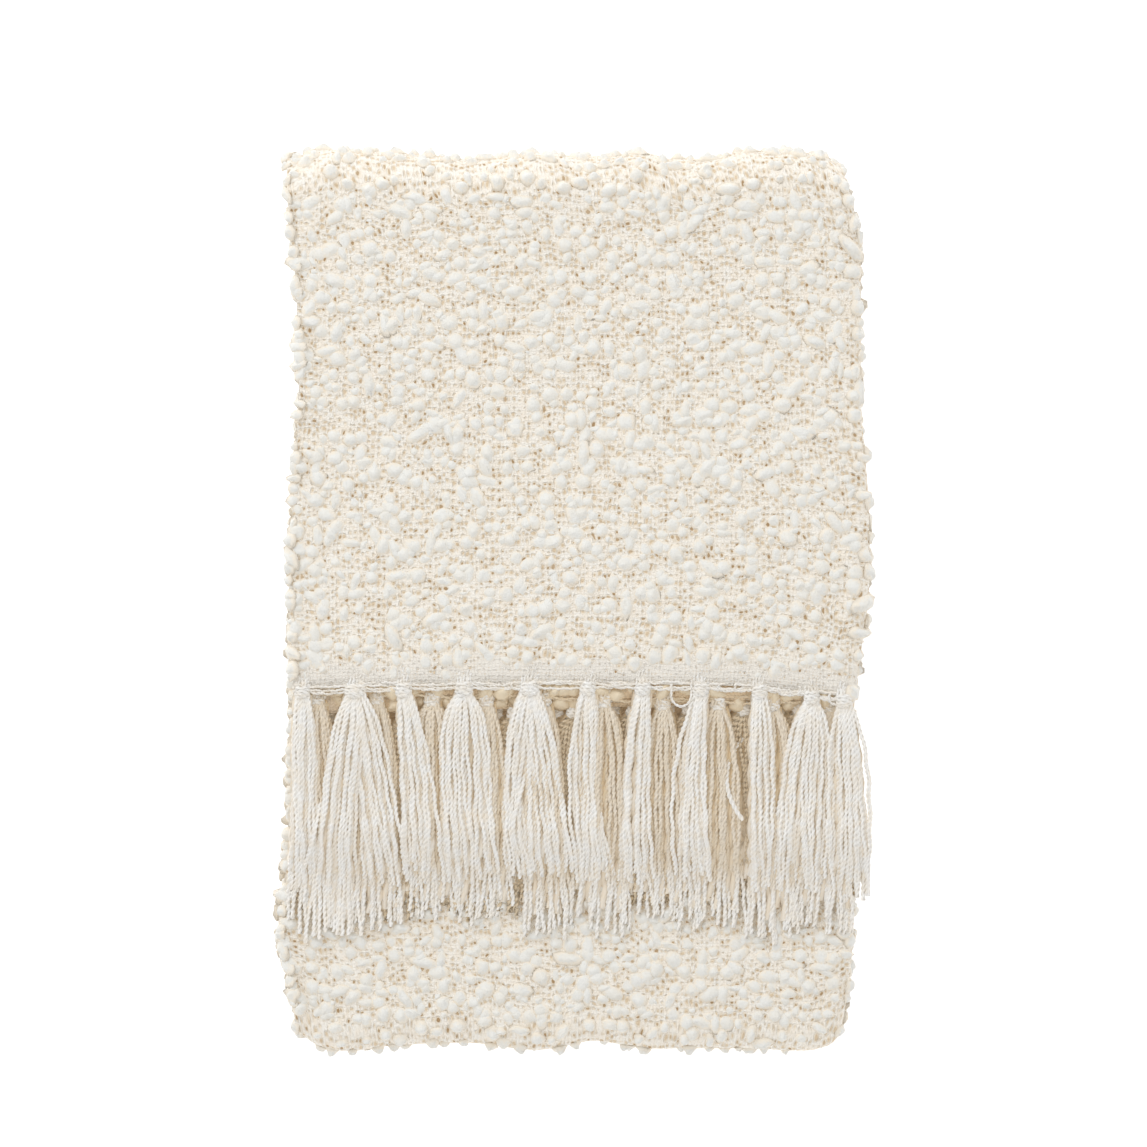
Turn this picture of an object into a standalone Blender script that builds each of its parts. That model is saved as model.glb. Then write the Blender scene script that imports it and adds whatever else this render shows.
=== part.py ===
"""A woven throw with a knotted fringe, folded and laid flat.

The cloth is one panel. It is folded in half and in half again across its width, which makes a bundle of
four layers. The bundle is then doubled along its length, with both fringed ends together, and turned over
once, so that it lies four bundles deep under the upper panel and two deep below the fringe.
X runs across the folded throw, Y along it and Z up from the surface that it lies on. Units are metres.
"""

import math

import bmesh
import bpy
import numpy as np

MM = 0.001

# The cloth and how its layers are stacked.
CLOTH_THICK = 3.0 * MM
LAYER_PITCH = 4.0 * MM
LAYERS = 4
BUNDLE = LAYERS * LAYER_PITCH
OUTER_TURN = 1.5 * LAYER_PITCH
INNER_TURN = 0.5 * LAYER_PITCH
FLOOR_DROP = (LAYER_PITCH - CLOTH_THICK) / 2

# The folded outline.
FOLDED_WIDTH = 318.0 * MM
FOLDED_LENGTH = 500.0 * MM
HEM_Y = -43.0 * MM
LEFT_TURN_INSET = 3.0 * MM
INNER_EDGE_INSET = 5.0 * MM
TOP_FOLD_DEPTH = 16.0 * MM
TOP_FOLD_INSET = 9.0 * MM

# Where the middle of the uneven stack's box lies before it is set on the origin.
BOX_MIDDLE_X = -1.26 * MM
BOX_MIDDLE_Y = 0.24 * MM

# Cells of the sheet along its straight runs and round its turns.
WIDTH_CELLS = {"run": 5, "outer": 5, "inner": 3}
LENGTH_CELLS = {"short run": 5, "long run": 6, "outer": 7, "inner": 5}

# How far each side lies from the middle, for the two upper bundles and the two lower ones, in mm.
SIDE_COLUMNS = ("y", "upper left", "upper right", "lower left", "lower right")
SIDES = (
    (248, -161, 149, -160, 148),
    (213, -159, 157, -157, 155),
    (166, -155, 159, -154, 157),
    (111, -154, 159, -153, 157),
    (56, -157, 163, -155, 160),
    (1, -159, 163, -158, 160),
    (-43, -157, 157, -159, 155),
    (-87, -157, 155, -160, 154),
    (-137, -157, 155, -163, 155),
    (-186, -157, 155, -167, 156),
    (-219, -157, 155, -161, 153),
    (-247, -157, 155, -156, 149),
)

# How far the top and bottom folds wander from straight, in mm, positive towards the top.
FOLD_COLUMNS = ("x", "top", "bottom")
FOLDS = (
    (-160, -3, 14),
    (-143, 1, 2),
    (-96, 0, 2),
    (-57, -3, 3),
    (-19, 0, -1),
    (9, -2, 4),
    (40, 0, 0),
    (53, -3, 0),
    (97, 1, 0),
    (138, -2, 1),
    (155, -10, 10),
)

# How far each hem hangs below the highest one, in mm. "across" counts the layers along the cloth's width.
HEM_COLUMNS = ("across", "upper", "under")
HEMS = (
    (0.0, 2, 10),
    (0.3, 0, 11),
    (0.6, 0, 12),
    (0.85, 2, 13),
    (1.0, 7, 14),
    (1.5, 12, 24),
    (2.0, 16, 28),
    (2.5, 13, 24),
    (3.0, 10, 16),
    (3.5, 7, 14),
    (4.0, 5, 12),
)

# A gentle unevenness of the stack: waves along X and Y, as a share of the height.
WAVES = ((0.018, 21.0, 9.0, 0.4), (0.014, -13.0, 27.0, 1.9), (0.008, 47.0, 33.0, 0.9))

# The knotted edge and its tassels.
EDGE_GAP = 0.3 * MM
EDGE_WIDTH = 4.0 * MM
KNOT_WIDTH = 6.4 * MM
KNOT_LENGTH = 9.0 * MM
KNOT_THICK = 3.4 * MM
KNOT_BITE = 2.0 * MM
TOP_KNOT_THICK = 5.0 * MM
TASSEL_LENGTH = 97.0 * MM
TIP_PITCH = 2.4 * MM
TIP_CLEARANCE = 0.5 * MM
STRAND_THICK = 1.6 * MM
STRAND_FILL = 0.72
ROOT_INSET = 0.1 * MM
TASSEL_PITCH = 31.4 * MM

# How a strand comes down to its row's height: shares of its length and of its way down.
SETTLE_COLUMNS = ("along", "down")
SETTLING = {
    "over a knot": ((0.2, 0.08), (0.65, 1.0), (1.0, 1.0)),
    "plain": ((0.65, 1.0), (1.0, 1.0)),
}

# The tassels that lie on top, in mm: where each knot is, and where its tip fan lies and how wide it is.
TOP_COLUMNS = ("knot x", "tip x", "tip half width", "strands")
TOP_TASSELS = (
    (-149, -151, 6.5, 4),
    (-124, -123, 18.5, 10),
    (-90, -85, 11.0, 6),
    (-57, -55, 15.5, 8),
    (-24, -15, 14.0, 7),
    (9, 9, 7.5, 4),
    (39, 37, 12.0, 6),
    (71, 76, 14.0, 7),
    (102, 103, 7.5, 4),
    (132, 129, 14.0, 7),
    (149, 153, 6.0, 4),
)

# The tassels of each hem's other layers, and how many rows of strands lie under each row's tips.
ROW_COLUMNS = ("hem", "layer", "first knot x", "strands", "half width", "settling", "rows below")
ROWS = (
    ("upper", 3, -136, 5, 12.5, "over a knot", 6.8),
    ("upper", 2, -144, 3, 12.5, "plain", 5.8),
    ("upper", 1, -139, 2, 12.0, "over a knot", 4.6),
    ("under", 1, -141, 2, 12.0, "plain", 3),
    ("under", 2, -137, 1, 8.0, "plain", 2),
    ("under", 3, -143, 1, 8.0, "plain", 1),
    ("under", 0, -139, 1, 8.0, "plain", 0),
)
ROW_TASSELS = 10
TOP_ROWS_BELOW = 7.9

IVORY = (0.86, 0.83, 0.75)
YARN = (0.80, 0.76, 0.68)


def smooth_column(rows, column, value):
    """A column of a table at a value of its first column, along a smooth curve through its rows."""
    table = sorted(rows)
    keys = [row[0] for row in table]
    heights = [row[column] for row in table]
    value = min(max(value, keys[0]), keys[-1])
    place = min(int(np.searchsorted(keys, value, side="right")) - 1, len(keys) - 2)
    slopes = np.gradient(heights, keys)
    span = keys[place + 1] - keys[place]
    t = (value - keys[place]) / span
    start = (1 + 2 * t) * (1 - t) ** 2 * heights[place] + t * (1 - t) ** 2 * span * slopes[place]
    end = t * t * (3 - 2 * t) * heights[place + 1] + t * t * (t - 1) * span * slopes[place + 1]
    return start + end


def smooth_step(value):
    """0 below 0, 1 above 1, and an easy slope between."""
    value = min(max(value, 0.0), 1.0)
    return value * value * (3 - 2 * value)


def run(start, end, cells):
    """Points along a straight run, without its last one."""
    return [
        tuple(a + (b - a) * step / cells for a, b in zip(start, end)) for step in range(cells)
    ]


def turn(centre, radii, start, end, cells):
    """Points round a turn from one angle to another in degrees, without the last one."""
    points = []
    for step in range(cells):
        angle = math.radians(start + (end - start) * step / cells)
        points.append(
            (centre[0] + radii[0] * math.cos(angle), centre[1] + radii[1] * math.sin(angle))
        )
    return points


def width_section():
    """(x, offset, across) of the middle of the cloth, over its whole width."""
    left = -FOLDED_WIDTH / 2
    right = FOLDED_WIDTH / 2 - CLOTH_THICK / 2 - OUTER_TURN
    left_turn = left + LEFT_TURN_INSET + CLOTH_THICK / 2 + INNER_TURN
    inner_edge = left + INNER_EDGE_INSET
    cells, outer, inner = (WIDTH_CELLS[key] for key in ("run", "outer", "inner"))
    points = (
        run((left, OUTER_TURN), (right, OUTER_TURN), cells)
        + turn((right, 0), (OUTER_TURN, OUTER_TURN), 90, -90, outer)
        + run((right, -OUTER_TURN), (left_turn, -OUTER_TURN), cells)
        + turn((left_turn, -LAYER_PITCH), (INNER_TURN, INNER_TURN), -90, -270, inner)
        + run((left_turn, -INNER_TURN), (right, -INNER_TURN), cells)
        + turn((right, 0), (INNER_TURN, INNER_TURN), -90, 90, inner)
        + run((right, INNER_TURN), (inner_edge, INNER_TURN), cells)
        + [(inner_edge, INNER_TURN)]
    )
    travelled = [0.0]
    for before, after in zip(points, points[1:]):
        travelled.append(travelled[-1] + math.dist(before, after))
    layer = travelled[-1] / LAYERS
    return [(x, offset, length / layer) for (x, offset), length in zip(points, travelled)]


def level(number):
    """The height of the middle of a bundle, counted from the surface up."""
    return (number + 0.5) * BUNDLE - FLOOR_DROP


def between(number):
    """The height half way between a bundle and the next one above it."""
    return (number + 1) * BUNDLE - FLOOR_DROP


def length_stations():
    """(y, z, normal y, normal z, pull of the upper hem, pull of the under hem) along the bundle."""
    top = FOLDED_LENGTH / 2 - TOP_FOLD_DEPTH - BUNDLE / 2 + FLOOR_DROP
    bottom = -FOLDED_LENGTH / 2 + BUNDLE - FLOOR_DROP
    inner_top = top - TOP_FOLD_INSET
    short, long, outer, inner = (
        LENGTH_CELLS[key] for key in ("short run", "long run", "outer", "inner")
    )
    half = (BUNDLE / 2, BUNDLE / 2)
    points = (
        run((HEM_Y, level(3)), (top, level(3)), short)
        + turn((top, between(1)), (TOP_FOLD_DEPTH, 1.5 * BUNDLE), 90, -90, outer)
        + run((top, level(0)), (bottom, level(0)), long)
        + turn((bottom, between(0)), half, -90, -270, inner)
        + run((bottom, level(1)), (inner_top, level(1)), long)
        + turn((inner_top, between(1)), half, -90, 90, inner)
        + run((inner_top, level(2)), (HEM_Y, level(2)), short)
        + [(HEM_Y, level(2))]
    )
    last = len(points) - 1
    stations = []
    for place, (y, z) in enumerate(points):
        before, after = points[max(place - 1, 0)], points[min(place + 1, last)]
        along = math.hypot(after[0] - before[0], after[1] - before[1])
        normal = (-(after[1] - before[1]) / along, (after[0] - before[0]) / along)
        if place <= short or place >= last - short:
            normal = (0.0, 1.0 if place <= short else -1.0)
        pulls = (max(1 - place / short, 0), max(1 - (last - place) / short, 0))
        stations.append((y, z) + normal + pulls)
    return stations


def swell(x, y):
    """How much higher than even the stack stands at a place, as a share of its height."""
    return sum(share * math.sin(a * x + b * y + phase) for share, a, b, phase in WAVES)


def uneven(x, y, z):
    """A point of the even stack moved to where the hand-folded one has it."""
    upper = smooth_step(z / BUNDLE - 1.5)
    y_mm = y / MM
    left = np.interp(
        upper, (0, 1), (smooth_column(SIDES, 3, y_mm), smooth_column(SIDES, 1, y_mm))
    )
    right = np.interp(
        upper, (0, 1), (smooth_column(SIDES, 4, y_mm), smooth_column(SIDES, 2, y_mm))
    )
    x_new = (left + (right - left) * (x / FOLDED_WIDTH + 0.5)) * MM
    near_top = smooth_step((y - 0.35 * FOLDED_LENGTH) / (0.12 * FOLDED_LENGTH))
    near_bottom = smooth_step((-y - 0.35 * FOLDED_LENGTH) / (0.12 * FOLDED_LENGTH))
    x_mm = x_new / MM
    top = smooth_column(FOLDS, 1, x_mm) * near_top
    bottom = smooth_column(FOLDS, 2, x_mm) * near_bottom
    y_new = y + (top + bottom) * MM
    lowest = CLOTH_THICK / 2
    z_new = lowest + (z - lowest) * (1 + swell(x_new, y_new))
    return (x_new - BOX_MIDDLE_X, y_new - BOX_MIDDLE_Y, z_new)


def place(point, station):
    """Where a point of the width's section lies at a station along the bundle."""
    x, offset, across = point
    y, z, normal_y, normal_z, upper, under = station
    drop = upper * smooth_column(HEMS, 1, across) + under * smooth_column(HEMS, 2, across)
    return uneven(x, y + offset * normal_y - drop * MM, z + offset * normal_z)


def material(name, colour, roughness):
    """A plain woven finish."""
    finish = bpy.data.materials.new(name)
    finish.use_nodes = True
    shader = finish.node_tree.nodes["Principled BSDF"]
    shader.inputs["Base Color"].default_value = (*colour, 1)
    shader.inputs["Roughness"].default_value = roughness
    shader.inputs["Metallic"].default_value = 0
    return finish


def add_object(name, bm, collection, finish):
    """A new object of a mesh, in a collection."""
    mesh = bpy.data.meshes.new(name)
    bm.to_mesh(mesh)
    bm.free()
    mesh.materials.append(finish)
    new = bpy.data.objects.new(name, mesh)
    collection.objects.link(new)
    return new


def folded_sheet(name, stations, collection, finish):
    """The cloth, or a strip of it, over its whole width and through all the stations."""
    section = width_section()
    columns, rows = len(section) - 1, len(stations) - 1
    bm = bmesh.new()
    bmesh.ops.create_grid(bm, x_segments=columns, y_segments=rows, size=1)
    for vert in bm.verts:
        column = round((vert.co.x + 1) / 2 * columns)
        row = round((vert.co.y + 1) / 2 * rows)
        vert.co = place(section[column], stations[row])
    sheet = add_object(name, bm, collection, finish)
    solid = sheet.modifiers.new("thickness", "SOLIDIFY")
    solid.thickness = CLOTH_THICK
    solid.offset = 0
    return sheet


def hem_station(hem, beyond):
    """The station at a distance past one of the two hems."""
    if hem == "upper":
        return (HEM_Y - beyond, level(3), 0.0, 1.0, 1.0, 0.0)
    return (HEM_Y - beyond, level(2), 0.0, -1.0, 0.0, 1.0)


def edge_point(hem, layer, x):
    """The middle of the knotted edge's outer side, where one layer of it crosses a given x."""
    offset = (OUTER_TURN, -OUTER_TURN, -INNER_TURN, INNER_TURN)[layer]
    station = hem_station(hem, EDGE_GAP + EDGE_WIDTH)
    on_layer = [point for point in width_section() if abs(point[1] - offset) < MM / 100]
    spots = sorted(place(point, station) for point in on_layer)
    xs, ys, zs = zip(*spots)
    return (x, float(np.interp(x, xs, ys)), float(np.interp(x, xs, zs)))


def tip_height(rows_below):
    """The height of the strands of one row at their tips, where the rows lie close together."""
    return 2 * BUNDLE - 2 * FLOOR_DROP + TIP_CLEARANCE + (rows_below + 0.5) * TIP_PITCH


def add_tassel(bm, knot, knot_thick, tip_x, half_width, strands, settling, tip_z, length):
    """A knot with strands that fan out of it and settle to the height of their row."""
    earlier = set(bm.faces)
    made = bmesh.ops.create_cube(bm, size=1)
    centre_y = knot[1] - KNOT_LENGTH / 2 + KNOT_BITE
    end_y = centre_y - KNOT_LENGTH / 2
    for vert in made["verts"]:
        vert.co.x = knot[0] + vert.co.x * KNOT_WIDTH
        vert.co.y = centre_y + vert.co.y * KNOT_LENGTH
        vert.co.z = knot[2] + vert.co.z * knot_thick

    def front_faces():
        new = [face for face in bm.faces if face not in earlier]
        return [face for face in new if all(abs(v.co.y - end_y) < MM / 10 for v in face.verts)]

    if strands > 1:
        front = front_faces()[0]
        level_edges = [edge for edge in front.edges if edge.verts[0].co.z == edge.verts[1].co.z]
        bmesh.ops.subdivide_edges(bm, edges=level_edges, cuts=strands - 1, use_grid_fill=True)
    cells = front_faces()
    bmesh.ops.inset_individual(bm, faces=cells, thickness=ROOT_INSET)
    for cell in cells:
        start_x = cell.calc_center_median().x
        side = 2 * (start_x - knot[0]) / KNOT_WIDTH
        reach = length * (1 - 0.03 * abs(math.sin(7 * start_x / MM + 1)))
        for share, down in SETTLING[settling]:
            fan = KNOT_WIDTH / 2 + (half_width - KNOT_WIDTH / 2) * share**0.7
            x = knot[0] + (tip_x - knot[0]) * share + side * fan
            y = end_y - reach * share
            settled = tip_z * (1 + swell(x, y))
            z = knot[2] + (settled - knot[2]) * down
            width = STRAND_FILL * 2 * fan / strands
            cell = bmesh.ops.extrude_discrete_faces(bm, faces=[cell])["faces"][0]
            middle = cell.calc_center_median()
            for vert in cell.verts:
                vert.co.x = x + math.copysign(width / 2, vert.co.x - middle.x)
                vert.co.z = z + math.copysign(STRAND_THICK / 2, vert.co.z - middle.z)
                vert.co.y = y


def top_tassels(bm):
    """The eleven tassels that lie on top, one by one."""
    for number, (knot_x, tip_x, half_width, strands) in enumerate(TOP_TASSELS):
        x, y, z = edge_point("upper", 0, knot_x * MM)
        knot = (x, y, z + (TOP_KNOT_THICK - KNOT_THICK) / 2)
        length = TASSEL_LENGTH * (1 + 0.02 * math.sin(2.3 * number))
        shape = (half_width * MM, strands, "over a knot", tip_height(TOP_ROWS_BELOW), length)
        add_tassel(bm, knot, TOP_KNOT_THICK, tip_x * MM, *shape)


def row_tassels(bm, row):
    """One layer's tassels, evenly spaced and each a little different."""
    hem, layer, first_x, strands, half_width, settling, rows_below = row
    for number in range(ROW_TASSELS):
        knot = edge_point(hem, layer, first_x * MM + number * TASSEL_PITCH)
        lean = 1.5 * MM * math.sin(3.1 * number + 2 * rows_below)
        length = TASSEL_LENGTH * (1 + 0.02 * math.sin(1.7 * number + rows_below))
        shape = (half_width * MM, strands, settling, tip_height(rows_below), length)
        add_tassel(bm, knot, KNOT_THICK, knot[0] + lean, *shape)


def fringe(hem, collection, helpers, finish):
    """One end's fringe: a narrow edge that follows the folded hem, with its tassels joined to it."""
    stations = [hem_station(hem, EDGE_GAP), hem_station(hem, EDGE_GAP + EDGE_WIDTH)]
    if hem == "upper":
        stations.reverse()
    edge = folded_sheet("fringe_" + hem, stations, collection, finish)
    bm = bmesh.new()
    if hem == "upper":
        top_tassels(bm)
    for row in ROWS:
        if row[0] == hem:
            row_tassels(bm, row)
    bmesh.ops.recalc_face_normals(bm, faces=bm.faces)
    tassels = add_object("tassels_" + hem, bm, helpers, finish)
    tassels.hide_render = True
    tassels.display_type = "WIRE"
    join = edge.modifiers.new("tassels", "BOOLEAN")
    join.operation = "UNION"
    join.object = tassels
    return edge


def new_collection(name):
    """A collection in the scene."""
    collection = bpy.data.collections.new(name)
    bpy.context.scene.collection.children.link(collection)
    return collection


def main():
    """Clears the scene and builds the throw."""
    for old in list(bpy.data.objects):
        bpy.data.objects.remove(old)
    throw = new_collection("woven_throw")
    helpers = new_collection("helpers")
    ivory = material("ivory_cloth", IVORY, 0.95)
    yarn = material("fringe_yarn", YARN, 0.9)
    folded_sheet("cloth", length_stations(), throw, ivory)
    fringe("upper", throw, helpers, yarn)
    fringe("under", throw, helpers, yarn)


main()
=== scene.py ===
# %% [markdown]
# # A woven throw with a knotted fringe, folded and laid flat
#
# The throw is one panel of ivory slub weave. It is folded in half twice across its width, doubled along its
# length and turned over once, so the knotted fringe of both ends lies across the front of the stack.
# This lesson dresses a fixed frame of plain solids: the cloth as a thin sheet on the same folds, the soft
# nubs of its slub yarn, and every thread of the fringe.

import math
from collections import namedtuple

import bmesh
import bpy
import numpy as np
from mathutils import Matrix, Vector
from mathutils.noise import noise as crowding


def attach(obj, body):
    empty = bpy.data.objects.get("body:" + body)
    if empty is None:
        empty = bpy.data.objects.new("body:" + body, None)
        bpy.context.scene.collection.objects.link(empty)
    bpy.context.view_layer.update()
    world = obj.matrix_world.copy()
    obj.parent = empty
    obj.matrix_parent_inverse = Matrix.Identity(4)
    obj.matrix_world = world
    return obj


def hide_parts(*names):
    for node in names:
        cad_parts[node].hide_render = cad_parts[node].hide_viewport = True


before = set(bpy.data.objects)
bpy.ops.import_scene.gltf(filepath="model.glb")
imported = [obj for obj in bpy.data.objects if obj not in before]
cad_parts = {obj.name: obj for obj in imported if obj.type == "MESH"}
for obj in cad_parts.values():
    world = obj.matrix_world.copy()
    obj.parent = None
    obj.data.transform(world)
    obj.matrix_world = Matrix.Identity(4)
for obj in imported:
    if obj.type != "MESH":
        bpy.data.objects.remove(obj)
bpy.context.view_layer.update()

# %% [markdown]
# ## How the throw is folded
#
# A folded blanket is easiest to describe as two lines. The first runs across the cloth and says how its
# width is folded into four layers. The second runs along it and says how that bundle of layers is doubled
# and turned over. Any point of the cloth is then one place on each line. A cloth simulation could fold it
# as well, but would settle somewhere near the solids of the frame. The two lines have their sizes, so
# every layer lies where they are.

# %% Sizes of the folded stack
MM = 0.001
LAYER_PITCH = 4.0 * MM
LAYERS = 4
BUNDLE = LAYERS * LAYER_PITCH
OUTER_TURN = 1.5 * LAYER_PITCH
INNER_TURN = 0.5 * LAYER_PITCH
SOLID_THICK = 3.0 * MM
CLOTH_THICK = 2.0 * MM
FLOOR_DROP = (LAYER_PITCH - SOLID_THICK) / 2
NUB_REACH = 2.0 * MM

FOLDED_WIDTH = 318.0 * MM
FOLDED_LENGTH = 500.0 * MM
HEM_Y = -43.0 * MM
LEFT_TURN_INSET = 3.0 * MM
INNER_EDGE_INSET = 5.0 * MM
TOP_FOLD_DEPTH = 16.0 * MM
TOP_FOLD_INSET = 9.0 * MM
BOX_MIDDLE_X = -1.26 * MM
BOX_MIDDLE_Y = 0.24 * MM

# %% [markdown]
# A hand-folded stack is never square. Three short tables, in millimetres, hold how far its sides wander,
# how far the two end folds wander, and how far each hem hangs below the highest one.

# %% Tables of the uneven outline
# Each row: y, upper left, upper right, lower left, lower right.
SIDES = (
    (248, -161, 149, -160, 148), (213, -159, 157, -157, 155), (166, -155, 159, -154, 157),
    (111, -154, 159, -153, 157), (56, -157, 163, -155, 160), (1, -159, 163, -158, 160),
    (-43, -157, 157, -159, 155), (-87, -157, 155, -160, 154), (-137, -157, 155, -163, 155),
    (-186, -157, 155, -167, 156), (-219, -157, 155, -161, 153), (-247, -157, 155, -156, 149),
)
# Each row: x, top fold, bottom fold.
FOLDS = (
    (-160, -3, 14), (-143, 1, 2), (-96, 0, 2), (-57, -3, 3),
    (-19, 0, -1), (9, -2, 4), (40, 0, 0), (53, -3, 0),
    (97, 1, 0), (138, -2, 1), (155, -10, 10),
)
# Each row: layers passed across the cloth, upper hem, under hem.
HEMS = (
    (0.0, 2, 10), (0.3, 0, 11), (0.6, 0, 12), (0.85, 2, 13),
    (1.0, 7, 14), (1.5, 12, 24), (2.0, 16, 28), (2.5, 13, 24),
    (3.0, 10, 16), (3.5, 7, 14), (4.0, 5, 12),
)
# Each wave of the height: share, turns across and along in radians per metre, phase.
WAVES = ((0.018, 21.0, 9.0, 0.4), (0.014, -13.0, 27.0, 1.9), (0.008, 47.0, 33.0, 0.9))


# %% Read a table along a smooth curve
def column_at(rows, column, value):
    """A column of a table at values of its first column."""
    table = np.array(sorted(rows), float)
    keys, heights = table[:, 0], table[:, column]
    value = np.clip(value, keys[0], keys[-1])
    place = np.clip(np.searchsorted(keys, value, side="right") - 1, 0, len(keys) - 2)
    slopes = np.gradient(heights, keys)
    span = keys[place + 1] - keys[place]
    t = (value - keys[place]) / span
    start = (1 + 2 * t) * (1 - t) ** 2 * heights[place] + t * (1 - t) ** 2 * span * slopes[place]
    end = t * t * (3 - 2 * t) * heights[place + 1] + t * t * (t - 1) * span * slopes[place + 1]
    return start + end


def ease(value):
    """0 below 0, 1 above 1, and an easy slope between."""
    value = np.clip(value, 0.0, 1.0)
    return value * value * (3 - 2 * value)


print("hem of the top layer at its right end:", float(column_at(HEMS, 1, 1.0)), "mm lower")


# %% [markdown]
# ## The two lines of the fold
#
# Straight runs and half turns make both lines. They are sampled finely, so that `np.interp` can read
# them at any distance along the cloth.

# %% The line across the cloth and the line along it
def run(start, end, count=160):
    """Points along a straight run, without its last one."""
    return np.linspace(start, end, count, endpoint=False)


def turn(centre, radii, start, end, count=64):
    """Points round a turn from one angle to another in degrees, without the last one."""
    angles = np.radians(np.linspace(start, end, count, endpoint=False))
    return np.array(centre) + np.array(radii) * np.stack([np.cos(angles), np.sin(angles)], axis=1)


def travelled(line):
    """The distance along a line at each of its points."""
    steps = np.linalg.norm(np.diff(line, axis=0), axis=1)
    return np.concatenate([[0.0], np.cumsum(steps)])


def level(number):
    """The height of the middle of a bundle, counted from the surface up."""
    return (number + 0.5) * BUNDLE - FLOOR_DROP


def between(number):
    """The height half way between a bundle and the next one above it."""
    return (number + 1) * BUNDLE - FLOOR_DROP


LEFT = -FOLDED_WIDTH / 2
RIGHT_TURN = FOLDED_WIDTH / 2 - SOLID_THICK / 2 - OUTER_TURN
LEFT_TURN = LEFT + LEFT_TURN_INSET + SOLID_THICK / 2 + INNER_TURN
INNER_EDGE = LEFT + INNER_EDGE_INSET
ACROSS = np.concatenate(
    [
        run((LEFT, OUTER_TURN), (RIGHT_TURN, OUTER_TURN)),
        turn((RIGHT_TURN, 0), (OUTER_TURN, OUTER_TURN), 90, -90),
        run((RIGHT_TURN, -OUTER_TURN), (LEFT_TURN, -OUTER_TURN)),
        turn((LEFT_TURN, -LAYER_PITCH), (INNER_TURN, INNER_TURN), -90, -270),
        run((LEFT_TURN, -INNER_TURN), (RIGHT_TURN, -INNER_TURN)),
        turn((RIGHT_TURN, 0), (INNER_TURN, INNER_TURN), -90, 90),
        run((RIGHT_TURN, INNER_TURN), (INNER_EDGE, INNER_TURN)),
        [(INNER_EDGE, INNER_TURN)],
    ]
)
U = travelled(ACROSS)
WIDTH = U[-1]

TOP_TURN = FOLDED_LENGTH / 2 - TOP_FOLD_DEPTH - BUNDLE / 2 + FLOOR_DROP - NUB_REACH
BOTTOM_TURN = -FOLDED_LENGTH / 2 + BUNDLE - FLOOR_DROP + NUB_REACH
INNER_TOP_TURN = TOP_TURN - TOP_FOLD_INSET
HALF = (BUNDLE / 2, BUNDLE / 2)
ALONG = np.concatenate(
    [
        run((HEM_Y, level(3)), (TOP_TURN, level(3))),
        turn((TOP_TURN, between(1)), (TOP_FOLD_DEPTH, 1.5 * BUNDLE), 90, -90),
        run((TOP_TURN, level(0)), (BOTTOM_TURN, level(0))),
        turn((BOTTOM_TURN, between(0)), HALF, -90, -270),
        run((BOTTOM_TURN, level(1)), (INNER_TOP_TURN, level(1))),
        turn((INNER_TOP_TURN, between(1)), HALF, -90, 90),
        run((INNER_TOP_TURN, level(2)), (HEM_Y, level(2))),
        [(HEM_Y, level(2))],
    ]
)
S = travelled(ALONG)
LENGTH = S[-1]
FIRST_RUN = TOP_TURN - HEM_Y
LAST_RUN = INNER_TOP_TURN - HEM_Y
headings = np.gradient(ALONG, S, axis=0)
headings /= np.linalg.norm(headings, axis=1)[:, None]
NORMALS = np.stack([-headings[:, 1], headings[:, 0]], axis=1)
print(f"the cloth is {WIDTH:.3f} m wide and {LENGTH:.3f} m long when it is spread out")


# %% [markdown]
# `cloth_point` puts the two lines together, hangs the hems and pushes the even stack to where the
# hand-folded one has it. A little ripple keeps the layers from looking ironed, and fades out near the
# floor, where the weight of the stack presses the cloth flat.

# %% A point of the cloth, and the way it faces
FOLD_ZONE = 0.35 * FOLDED_LENGTH
FOLD_ZONE_WIDTH = 0.12 * FOLDED_LENGTH
# Each ripple: height in mm, turns across and along in radians per metre, phase.
RIPPLES = ((0.32, 210, 95, 0.0), (0.26, -120, 260, 1.3), (0.2, 390, -170, 2.1), (0.15, 250, 430, 0.7))


def swell(x, y):
    """How much higher than even the stack stands at a place, as a share of its height."""
    return sum(share * np.sin(a * x + b * y + phase) for share, a, b, phase in WAVES)


def ripple(u, s):
    """A small unevenness of the woven surface, in metres."""
    return sum(size * MM * np.sin(a * u + b * s + phase) for size, a, b, phase in RIPPLES)


def uneven(x, y, z):
    """Points of the even stack, moved to where the hand-folded one has them."""
    upper = ease(z / BUNDLE - 1.5)
    lower_left, lower_right = (column_at(SIDES, column, y / MM) for column in (3, 4))
    upper_left, upper_right = (column_at(SIDES, column, y / MM) for column in (1, 2))
    left = lower_left * (1 - upper) + upper_left * upper + NUB_REACH / MM
    right = lower_right * (1 - upper) + upper_right * upper - NUB_REACH / MM
    x_new = (left + (right - left) * (x / FOLDED_WIDTH + 0.5)) * MM
    near_top = ease((y - FOLD_ZONE) / FOLD_ZONE_WIDTH)
    near_bottom = ease((-y - FOLD_ZONE) / FOLD_ZONE_WIDTH)
    x_mm = x_new / MM
    shift = column_at(FOLDS, 1, x_mm) * near_top + column_at(FOLDS, 2, x_mm) * near_bottom
    y_new = y + shift * MM
    lowest = SOLID_THICK / 2
    z_new = lowest + (z - lowest) * (1 + swell(x_new, y_new))
    return np.stack([x_new - BOX_MIDDLE_X, y_new - BOX_MIDDLE_Y, z_new], axis=-1)


def along_line(distance, distances, *tables):
    """Both columns of each table of points, read at distances along its line."""
    return [np.interp(distance, distances, table[:, axis]) for table in tables for axis in (0, 1)]


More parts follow.
